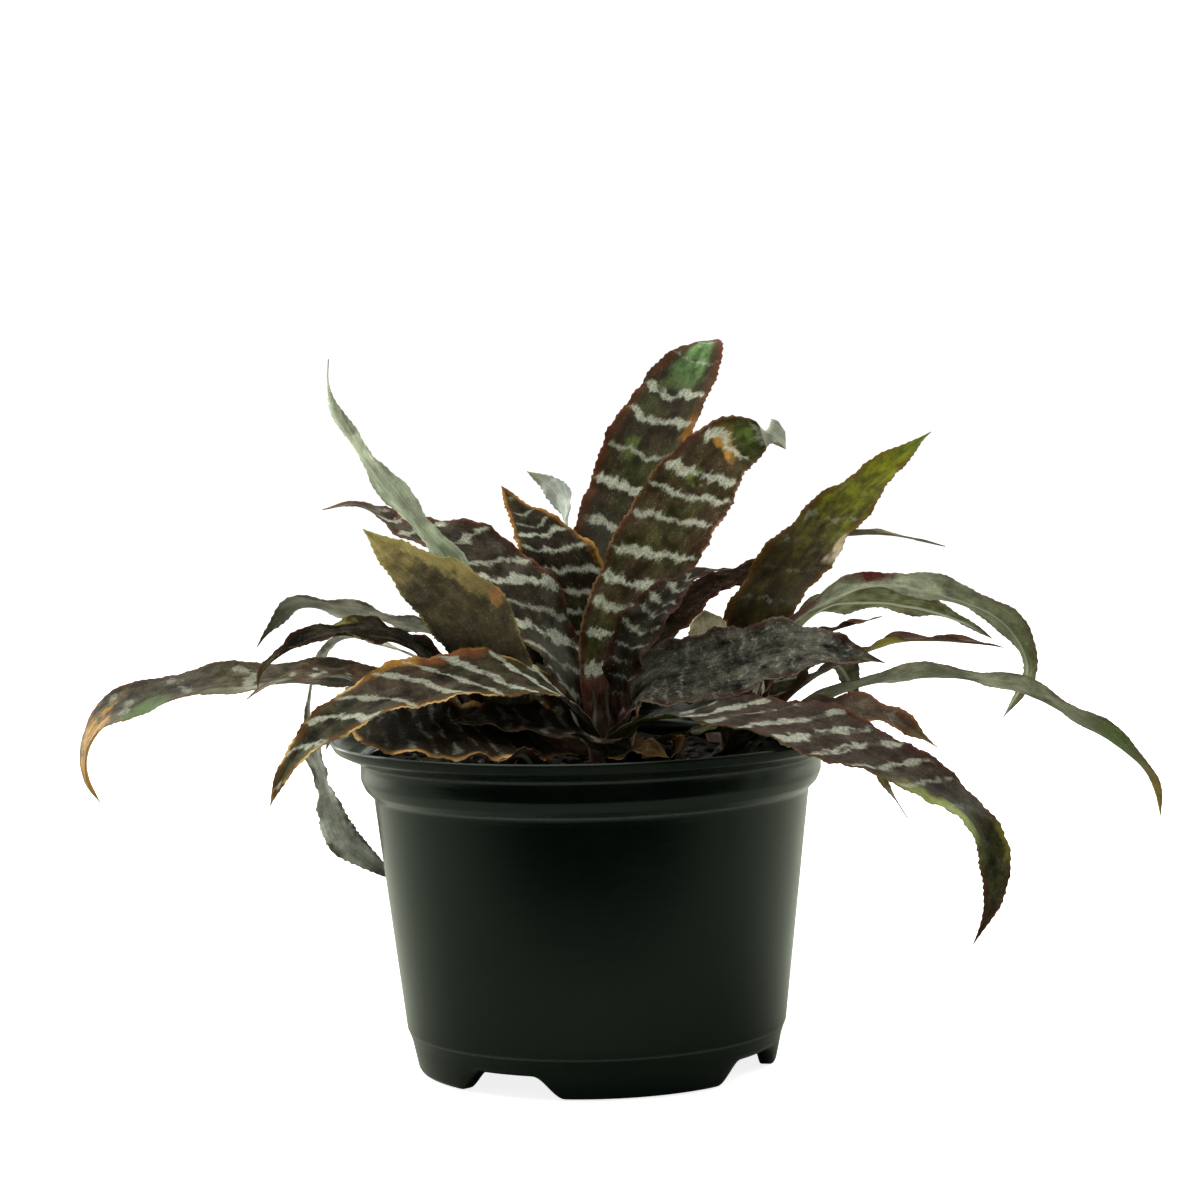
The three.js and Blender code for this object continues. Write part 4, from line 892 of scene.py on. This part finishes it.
# The leaves' looks, with the names that PLAIN_LEAF explains.
LOOKS = {
    "main_leaf_tall_back": dict(slot="leaf_banded", period=13.0, thick=3.0, gap=0.28, band_to=0.94,
        ground=(0.038, 0.027, 0.015), ground2=(0.044, 0.047, 0.016), gain=0.78, dust=0.06, veil=0.08,
        tip=0.2, stripe=(0.77, 1.0, 0.6, (0.13, 0.24, 0.085), 1.0), zone=0.8,
        zone_color=(0.1, 0.036, 0.014), margin_wide=4.5, margin=0.8, margin_color=RED,
        spots=((0.6, 0.68, 0.1, 0.6, LIME, 0.5),
               (0.6, 0.78, -1.4, -0.68, (0.42, 0.2, 0.05), 0.7),
               (0.3, 0.52, -1.2, 1.2, (0.075, 0.064, 0.056), 0.6))),
    "main_leaf_tall_front": dict(slot="leaf_olive", period=10.5, thick=3.4, slant=0.34, gap=0.3,
        band_to=0.88, ground=(0.05, 0.034, 0.018), ground2=(0.052, 0.06, 0.018), gain=1.2, dust=0.08,
        veil=0.1, base=0.85, base_color=(0.1, 0.035, 0.028), tip=0.95, tip_at=0.93, tip_soft=0.04,
        tip_color=(0.4, 0.42, 0.34), zone=0.5, margin=0.5, margin_color=(0.34, 0.2, 0.11),
        under=(0.5, 0.53, 0.45), under2=(0.36, 0.39, 0.31), under_tip=0.0,
        spots=((0.78, 0.85, -0.6, 0.9, GOLD, 0.8),
               (0.84, 0.93, -0.4, 0.6, LIME, 0.8),
               (0.66, 0.72, -0.1, 0.4, LIME, 0.7))),
    "main_leaf_broad": dict(slot="leaf_banded", period=7.2, thick=2.2, slant=-0.3, zig=3.0, drift=4.0,
        gap=0.26, woolly=1.6, ground=(0.024, 0.016, 0.01), ground2=(0.026, 0.026, 0.012), gain=0.75,
        dust=0.05, veil=0.05, shine=0.02, tip=0.85, tip_at=0.9, tip_color=(0.07, 0.07, 0.02), zone=0.6,
        zone_color=(0.16, 0.06, 0.02), margin_wide=2.6, margin=0.75, margin_color=GOLD, line=1.4,
        line_low=0.3,
        spots=((0.42, 0.78, -1.6, -0.86, (0.5, 0.26, 0.07), 0.8),)),
    "main_leaf_arching": dict(slot="leaf_banded", period=10.5, thick=4.0, slant=-0.8, woolly=3.4, fade=2.0,
        band_to=0.8, ground=(0.046, 0.034, 0.024), ground2=(0.034, 0.027, 0.018), gain=1.02, veil=0.3,
        zone=0.5, margin=0.5,
        spots=((0.1, 0.34, -0.8, 0.9, (0.17, 0.18, 0.15), 0.5),
               (0.72, 0.8, -0.9, 0.0, (0.16, 0.02, 0.015), 0.8))),
    "main_leaf_dark": dict(slot="leaf_charcoal", band=0.8, period=5.0, thick=1.2, zig=7.0, gap=0.42,
        faint=0.0, woolly=3.4, band_color=(0.36, 0.37, 0.31), ground=(0.036, 0.033, 0.026),
        ground2=(0.085, 0.086, 0.068), dark=0.05, light=2.3, gain=0.68, dust=0.7, flecks=0.9, veil=0.6,
        shine=0.02, seam=0.1, base=0.2, zone=0.5, margin=0.5, margin_color=(0.3, 0.24, 0.18)),
    "main_leaf_small": dict(slot="leaf_banded", period=6.0, thick=2.0, slant=0.3,
        ground=(0.026, 0.018, 0.012), ground2=(0.028, 0.024, 0.016), dark=0.25, gain=0.6, flecks=0.6,
        base=0.9, base_color=(0.1, 0.035, 0.03), zone=0.4, margin=0.3),
    "main_leaf_strap": dict(slot="leaf_maroon", band=0.0, ground=(0.013, 0.008, 0.006),
        ground2=(0.02, 0.013, 0.009), gain=1.1, dust=0.05, veil=0.0, shine=0.0, tip=0.95, tip_at=0.6,
        tip_color=(0.14, 0.135, 0.095), zone=0.2, margin=0.2, under=(0.02, 0.011, 0.009),
        under2=(0.01, 0.006, 0.005), under_gain=1.1, rib=0.04, under_tip=0.95, under_tip_at=0.5,
        under_tip_color=(0.14, 0.135, 0.095)),
    "main_leaf_long_front": dict(slot="leaf_banded", period=13.0, thick=4.2, slant=-0.9, zig=6.0,
        drift=11.0, gap=0.4, fade=2.0, band_to=0.7, ground=(0.058, 0.038, 0.028),
        ground2=(0.034, 0.024, 0.016), gain=0.68, veil=0.2, tip=0.85, tip_at=0.7,
        tip_color=(0.05, 0.058, 0.02), margin=0.3, under=(0.3, 0.4, 0.14), under2=(0.14, 0.19, 0.06),
        under_margin=0.2,
        spots=((0.6, 0.86, -1.6, -0.3, (0.34, 0.4, 0.11), 0.95),
               (0.76, 0.88, 0.6, 1.5, (0.24, 0.23, 0.04), 0.85),
               (0.93, 1.2, -1.5, 1.5, (0.05, 0.018, 0.014), 0.8))),
    "main_leaf_front_left": dict(slot="leaf_banded", band=1.0, period=14.0, thick=4.2, slant=1.1, zig=4.0,
        drift=9.0, gap=0.3, fade=1.6, ground=(0.052, 0.038, 0.025), ground2=(0.036, 0.034, 0.018),
        dark=0.18, light=1.95, gain=0.94, tip=0.85, tip_at=0.76, tip_color=(0.035, 0.05, 0.02), zone=0.6,
        zone_color=(0.16, 0.06, 0.02), margin=0.8, margin_color=(0.72, 0.48, 0.17), line=1.15, line_low=0.0,
        spots=((0.34, 0.6, -1.4, -0.6, (0.3, 0.1, 0.03), 0.7),
               (0.5, 0.66, -1.4, -0.7, GOLD, 0.8))),
    "main_leaf_under": dict(slot="leaf_maroon", band=0.35, period=7.0, ground=(0.022, 0.014, 0.01),
        ground2=(0.028, 0.018, 0.012), gain=0.5),
    "main_leaf_silver_back": dict(slot="leaf_silver", band=0.0, ground=(0.46, 0.5, 0.46),
        ground2=(0.4, 0.43, 0.38), dark=0.85, light=1.1, gain=0.85, zone=0.0, margin=0.1,
        under=(0.46, 0.5, 0.46), under2=(0.38, 0.42, 0.39), under_gain=0.85, rib=0.1, under_tip=0.6,
        under_tip_color=(0.22, 0.26, 0.12), under_margin=0.1),
    "main_leaf_low_tip": dict(slot="leaf_olive", band=0.0, ground=(0.13, 0.14, 0.03),
        ground2=(0.24, 0.25, 0.06), tip_color=(0.05, 0.03, 0.02), under=(0.25, 0.28, 0.08),
        under2=(0.16, 0.17, 0.05)),
    "main_leaf_rear": dict(slot="leaf_banded"),
    # Painted shade: this rear leaf's gains darken it to the deep shade it stands in between the other
    # leaves.
    "main_leaf_rear_left": dict(slot="leaf_banded", period=8.0, gain=0.25, shine=0.0, under_gain=0.2),
    "left_leaf_upright": dict(slot="leaf_silver", band=0.0, ground=(0.42, 0.48, 0.35),
        ground2=(0.32, 0.37, 0.27), dark=0.8, light=1.15, veil=0.1, seam=0.0, zone=0.1, margin=0.2,
        under=(0.52, 0.58, 0.44), under2=(0.38, 0.44, 0.32), rib=0.6, under_tip=0.35,
        under_tip_color=(0.3, 0.26, 0.14), under_margin=0.35, under_margin_color=(0.16, 0.14, 0.09)),
    "left_leaf_olive": dict(slot="leaf_olive", flip=True, band=0.0, ground=(0.105, 0.086, 0.048),
        ground2=(0.07, 0.058, 0.036), dark=0.6, light=1.45, gain=1.1, dust=0.35, flecks=0.6, veil=0.25,
        base=0.8, base_to=0.55, base_color=(0.036, 0.03, 0.022), tip=0.85, tip_at=0.66, tip_soft=0.3,
        tip_color=(0.4, 0.33, 0.12), zone=0.0, margin=0.5, margin_color=YELLOW,
        spots=((0.4, 1.0, 0.45, 1.3, (0.5, 0.4, 0.15), 0.7),
               (0.44, 0.52, 0.72, 1.1, (0.55, 0.26, 0.12), 0.8))),
    # Partly painted light: under_gain 1.2 brightens the under face beyond its own silver-grey.
    "left_leaf_grey": dict(slot="leaf_silver", band=0.0, ground=(0.6, 0.6, 0.52),
        ground2=(0.36, 0.35, 0.28), base=0.0, tip=0.8, tip_at=0.7, tip_color=(0.1, 0.085, 0.06), margin=0.4,
        under=(0.62, 0.62, 0.54), under2=(0.46, 0.46, 0.38), under_dark=0.7, under_light=1.3,
        under_gain=1.2, rib=0.3, under_base=0.0, under_tip=0.95, under_tip_at=0.5,
        under_tip_color=(0.07, 0.06, 0.04), under_margin=0.7, under_wide=1.0,
        under_margin_color=(0.08, 0.05, 0.03)),
    "left_leaf_toothed": dict(slot="leaf_charcoal", band=0.0, ground=(0.012, 0.011, 0.008),
        ground2=(0.045, 0.038, 0.026), gain=0.8, dust=0.05, veil=0.08, shine=0.0, seam=0.0, zone=0.3,
        margin=0.5, margin_color=(0.16, 0.11, 0.07), under=(0.06, 0.056, 0.044),
        under2=(0.024, 0.022, 0.017), rib=0.1,
        spots=((0.6, 0.68, 0.6, 1.3, (0.35, 0.32, 0.1), 0.9),
               (0.6, 0.68, -1.3, -0.6, (0.35, 0.32, 0.1), 0.9))),
    "left_leaf_long": dict(slot="leaf_banded", band=0.6, period=21.0, thick=6.0, slant=0.3, gap=0.44,
        woolly=3.4, ground=(0.085, 0.07, 0.04), ground2=(0.052, 0.042, 0.026), dark=0.3, gain=0.75,
        veil=0.3, tip=0.95, tip_at=0.79, tip_soft=0.05, tip_color=(0.44, 0.23, 0.03),
        zone_color=(0.05, 0.03, 0.02), under=(0.42, 0.4, 0.28), under2=(0.22, 0.2, 0.13), under_dark=0.5,
        under_gain=1.2, under_tip=2.0, under_tip_at=0.7, under_tip_color=(0.3, 0.17, 0.03),
        under_margin_color=(0.3, 0.12, 0.04),
        spots=((0.66, 0.8, -0.3, 2.2, (0.09, 0.17, 0.045), 0.8),
               (0.3, 0.66, 0.35, 1.4, (0.3, 0.3, 0.2), 0.6))),
    "left_leaf_mottled": dict(slot="leaf_banded", band=0.8, thick=3.6, gap=0.42, ground=(0.07, 0.046, 0.03),
        ground2=(0.052, 0.04, 0.024), gain=1.15, dust=0.3, veil=0.5, zone=0.2, margin=0.3,
        under=(0.3, 0.32, 0.25)),
    "left_leaf_hanging": dict(slot="leaf_silver", band=0.0, ground=(0.62, 0.66, 0.58),
        ground2=(0.34, 0.36, 0.3), base=0.0, tip_color=(0.1, 0.11, 0.09), margin=0.4,
        under=(0.64, 0.68, 0.6), under2=(0.4, 0.42, 0.36), under_dark=0.8, under_light=1.2, under_gain=0.95,
        rib=0.2, under_base=0.0, under_tip=0.7, under_tip_at=0.86, under_tip_color=(0.1, 0.11, 0.09),
        under_margin=0.85, under_wide=2.4, under_margin_color=(0.07, 0.06, 0.04)),
    "left_leaf_rear": dict(slot="leaf_banded", period=10.0),
    # Painted shade: gain 0.42 darkens this leaf against the top light that falls on it.
    "right_leaf_olive": dict(slot="leaf_olive", band=0.55, period=12.0, slant=0.3, gap=0.48, band_to=0.66,
        ground=(0.05, 0.034, 0.01), ground2=(0.075, 0.066, 0.007), gain=0.42, dust=0.06, veil=0.03,
        shine=0.03, base=0.6, base_to=0.6, base_color=(0.02, 0.011, 0.007), tip=1.0, tip_at=0.46,
        tip_soft=0.42, tip_mix=0.3, tip_color=(0.25, 0.27, 0.01), zone=0.6, zone_color=(0.16, 0.07, 0.008),
        margin=0.5, margin_color=(0.4, 0.2, 0.05),
        spots=((0.84, 1.3, -2.0, 2.0, (0.19, 0.31, 0.015), 0.85),
               (0.48, 0.6, -1.4, -0.6, (1.0, 0.82, 0.55), 0.95),
               (0.2, 0.25, 0.7, 1.0, CREAM, 0.8),
               (0.05, 0.3, 0.6, 1.3, (0.16, 0.08, 0.03), 0.6))),
    "right_leaf_curled": dict(slot="leaf_silver", flip=True, band=0.25, period=8.0, thick=1.6, gap=0.46,
        faint=0.0, ground=(0.32, 0.35, 0.26), ground2=(0.18, 0.2, 0.135), dark=0.62, light=1.4, gain=1.35,
        dust=0.15, veil=0.0, seam=0.6, seam_color=(0.44, 0.47, 0.37), base=0.4, base_to=0.18,
        base_color=(0.06, 0.05, 0.035), tip=0.9, tip_at=0.58, tip_soft=0.3, tip_color=(0.115, 0.135, 0.055),
        zone=0.25, margin=0.4, margin_color=(0.14, 0.06, 0.04), under=(0.3, 0.33, 0.25),
        under2=(0.18, 0.2, 0.135), under_gain=1.35, under_tip=0.9, under_tip_at=0.6,
        under_tip_color=(0.115, 0.135, 0.055),
        spots=((0.18, 0.34, -1.8, 0.1, (0.1, 0.018, 0.014), 1.0),
               (0.38, 0.5, -1.8, 0.0, (0.1, 0.018, 0.014), 1.0))),
    "right_leaf_midrib": dict(slot="leaf_silver", band=0.0, ground=(0.24, 0.24, 0.165),
        ground2=(0.13, 0.13, 0.085), dark=0.7, base=0.1, tip_color=(0.07, 0.045, 0.03),
        under=(0.22, 0.23, 0.13), under2=(0.12, 0.125, 0.06), under_dark=0.75, rib=0.9, under_tip=0.8,
        under_tip_color=(0.06, 0.04, 0.025)),
    "right_leaf_red": dict(slot="leaf_maroon", flip=True, band=0.0, ground=(0.115, 0.066, 0.034),
        ground2=(0.095, 0.04, 0.02), dust=0.08, zone=0.1, margin=0.5, margin_color=(0.14, 0.04, 0.03),
        under=(0.11, 0.06, 0.035), under2=(0.06, 0.032, 0.018), rib=0.2, under_margin=0.3,
        spots=((0.47, 0.75, -1.6, 1.6, (0.44, 0.4, 0.05), 0.95),)),
    "right_leaf_long": dict(slot="leaf_silver", flip=True, band=0.0, ground=(0.23, 0.24, 0.165),
        ground2=(0.125, 0.13, 0.085), dark=0.62, light=1.3, dust=0.1, veil=0.1, seam=0.0, base=0.2, tip=0.9,
        tip_at=0.66, tip_soft=0.14, tip_color=(0.085, 0.095, 0.036), zone=0.15, margin=0.4,
        margin_color=(0.1, 0.05, 0.025), under=(0.2, 0.2, 0.14), under2=(0.1, 0.095, 0.062),
        under_tip_color=(0.2, 0.14, 0.03),
        spots=((0.74, 0.88, -1.6, 0.5, (0.085, 0.125, 0.036), 0.7),
               (0.86, 1.3, -2.0, 2.0, (0.32, 0.21, 0.03), 0.9))),
    "right_leaf_low": dict(slot="leaf_maroon", band=0.15, ground=(0.066, 0.04, 0.026),
        ground2=(0.052, 0.046, 0.026), gain=0.9, dust=0.2, tip=0.8, tip_at=0.84,
        tip_color=(0.09, 0.1, 0.03), zone=0.35, zone_color=(0.16, 0.06, 0.02), margin_color=ORANGE,
        line_low=0.2),
    "right_leaf_strip": dict(slot="leaf_maroon", band=0.0, ground=(0.05, 0.022, 0.018),
        ground2=(0.07, 0.04, 0.03), zone=0.1, under=(0.08, 0.05, 0.035), under2=(0.05, 0.03, 0.02)),
    # Painted light: gain and under_gain of 1.7 lift this shaded leaf past white, as if brightly lit.
    "right_leaf_short": dict(slot="leaf_dry", band=0.0, ground=(0.85, 0.76, 0.55),
        ground2=(0.42, 0.33, 0.2), gain=1.7, dust=0.1, veil=0.1, base=0.6, base_to=0.5,
        base_color=(0.1, 0.06, 0.03), zone=0.1, margin_color=CREAM, under=(0.85, 0.76, 0.55),
        under2=(0.34, 0.26, 0.16), under_gain=1.7, under_margin=0.1),
    "right_leaf_rear_right": dict(slot="leaf_banded", period=10.0, gain=0.5, shine=0.0, base=0.1, zone=0.05,
        under=(0.16, 0.15, 0.1), under2=(0.07, 0.065, 0.045), under_gain=0.5, under_base=0.0,
        under_margin=0.1),
    "right_leaf_rear": dict(slot="leaf_banded", period=8.5),
    "dead_leaf_rim": dict(slot="leaf_dry", band=0.5, period=6.5, thick=2.0, slant=0.5, gap=0.44,
        ground=(0.014, 0.01, 0.007), ground2=(0.034, 0.022, 0.012), gain=0.75, zone=0.6,
        zone_color=(0.22, 0.1, 0.03), margin=1.0, margin_color=(0.8, 0.47, 0.16), line=2.6, line_low=0.25),
    "dead_leaf_curl": dict(slot="leaf_dry", band=0.0, ground=(0.05, 0.03, 0.017),
        ground2=(0.02, 0.012, 0.008), margin=0.5, margin_color=TAN, under=(0.06, 0.037, 0.022),
        under2=(0.025, 0.016, 0.01)),
    "dead_leaf_scrap": dict(slot="leaf_dry", band=0.0, ground=(0.02, 0.014, 0.007),
        ground2=(0.05, 0.035, 0.012), gain=0.42, shine=0.0, tip=0.9, tip_at=0.8, tip_soft=0.06,
        tip_color=(0.22, 0.17, 0.06), margin=0.5, margin_color=TAN, under=(0.05, 0.034, 0.014),
        under2=(0.018, 0.012, 0.006), under_gain=0.38, under_base=0.0, under_tip=0.9, under_tip_at=0.66,
        under_tip_color=(0.28, 0.22, 0.08)),
    "dead_leaf_twist": dict(slot="leaf_dry", band=0.0, ground=(0.05, 0.034, 0.012),
        ground2=(0.024, 0.016, 0.007), gain=0.26, shine=0.0, tip=0.8, tip_at=0.7, tip_soft=0.1,
        tip_color=(0.2, 0.13, 0.05), margin=0.5, margin_color=TAN, under=(0.05, 0.034, 0.014),
        under2=(0.02, 0.013, 0.006), under_gain=0.22, under_base=0.0, under_tip=0.8, under_tip_at=0.7,
        under_tip_color=(0.26, 0.17, 0.07)),
}
CROWN_LOOK = dict(band=0.25, period=5.0, thick=1.4, ground=(0.085, 0.045, 0.032),
    ground2=(0.06, 0.045, 0.026), gain=0.5, dust=0.25, base=0.8, base_to=0.6, base_color=PINK,
    margin_color=(0.26, 0.15, 0.11), under=(0.16, 0.11, 0.085), under2=(0.08, 0.055, 0.04), under_gain=0.5)


# ------------------------------------------------------------- the model

def dress(obj, node, material):
    obj.data.materials.append(material)
    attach(obj, "root")
    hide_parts(node)


dress(make_pot(), "pot", pot_material())
dress(make_soil(), "soil", soil_material())
for number, (which, place) in enumerate(CROWNS.items()):
    crown = make_crown("young_leaves_" + which, place, 300 + 10 * number)
    dress(crown, "crown_" + which, leaf_material("young_leaves_" + which, 60 + number, CROWN_LOOK))
for number, (node, leaf) in enumerate(LEAVES.items()):
    piece = leaf_piece(node.replace("_leaf_", "_blade_"), leaf, 40 + 7 * number)
    dress(piece, node, leaf_material(node, number + 1, LOOKS[node]))


# --------------------------------------------------- floor, light, camera

FLOOR_RADIUS = 9.0
FILL, DEEP_BACK, CAMERA_WHITE = 0.26, 1.15, 1.05


def make_floor(sides=96):
    mesh = bpy.data.meshes.new("floor")
    ring = [(FLOOR_RADIUS * math.cos(a), FLOOR_RADIUS * math.sin(a), 0.0) for a in round_angles(sides)]
    mesh.from_pydata(ring, [], [list(range(sides))])
    obj = bpy.data.objects.new("floor", mesh)
    bpy.context.scene.collection.objects.link(obj)
    obj.location.z = -0.0004
    obj.data.materials.append(paper_material())
    return obj


def studio_world():
    """White for the camera, even fill for matt surfaces, dark in front to bright behind for shiny ones."""
    world = bpy.data.worlds.new("studio")
    bpy.context.scene.world = world
    g = Graph(world, "ShaderNodeBackground", "ShaderNodeOutputWorld")
    ahead = g.split(g.node("TexCoord", {}, "Generated"))[1]
    shiny = g.choose("Is Glossy Ray", FILL, g.between(ahead, -0.2, 0.5, 0.0, DEEP_BACK, soft=False))
    g.put(g.shader.inputs["Strength"], g.choose("Is Camera Ray", shiny, CAMERA_WHITE))
    g.put(g.shader.inputs["Color"], g.mix(g.ray("Is Camera Ray"), (0.96, 1.0, 0.88), (1.0, 1.0, 1.0)))


def softbox(name, place, size, power):
    """A lamp with a rectangular face, aimed at the plant's middle."""
    light = bpy.data.lights.new(name, "AREA")
    light.shape, light.size, light.size_y, light.energy = "RECTANGLE", *size, power
    light.color = (1.0, 0.98, 0.90)
    obj = bpy.data.objects.new(name, light)
    bpy.context.scene.collection.objects.link(obj)
    obj.location = place
    obj.rotation_mode = "QUATERNION"
    obj.rotation_quaternion = (Vector((0, 0, 0.1)) - Vector(place)).to_track_quat("-Z", "Y")


make_floor()
studio_world()
softbox("top", (-0.3, 0.0, 1.4), (1.1, 1.1), 20)
softbox("left", (-1.0, 0.85, 0.5), (0.9, 1.3), 24)
softbox("right", (1.0, 0.85, 0.5), (0.9, 1.3), 18)

# The photo's camera: its focal length and picture width in pixels, where it stands from the pot's axis in
# millimetres, and how it is turned.
FOCAL, PICTURE, OFF_CENTRE = 3683.0, 1200.0, 13.6
STAND = Vector((0.0, -1211.0, 256.0))
yaw, pitch, lean = math.atan2(OFF_CENTRE, FOCAL), math.radians(-4.8), math.radians(1.4)
ahead = Vector((math.sin(yaw) * math.cos(pitch), math.cos(yaw) * math.cos(pitch), math.sin(pitch)))
across = Vector((math.cos(yaw), -math.sin(yaw), 0.0))
upward = across.cross(ahead)
x_axis = across * math.cos(lean) - upward * math.sin(lean)
y_axis = across * math.sin(lean) + upward * math.cos(lean)
lens = bpy.data.cameras.new("camera")
lens.sensor_width, lens.lens = 36.0, 36.0 * FOCAL / PICTURE
lens.clip_start, lens.clip_end = 0.05, 60.0
camera = bpy.data.objects.new("camera", lens)
bpy.context.scene.collection.objects.link(camera)
turned = Matrix((x_axis, y_axis, -ahead)).transposed().to_4x4()
turned.translation = (Vector(POT_AXIS) + STAND) * MM
camera.matrix_world = turned
bpy.context.scene.camera = camera
bpy.context.scene.view_settings.view_transform = "Standard"
bpy.context.scene.view_settings.look = "None"
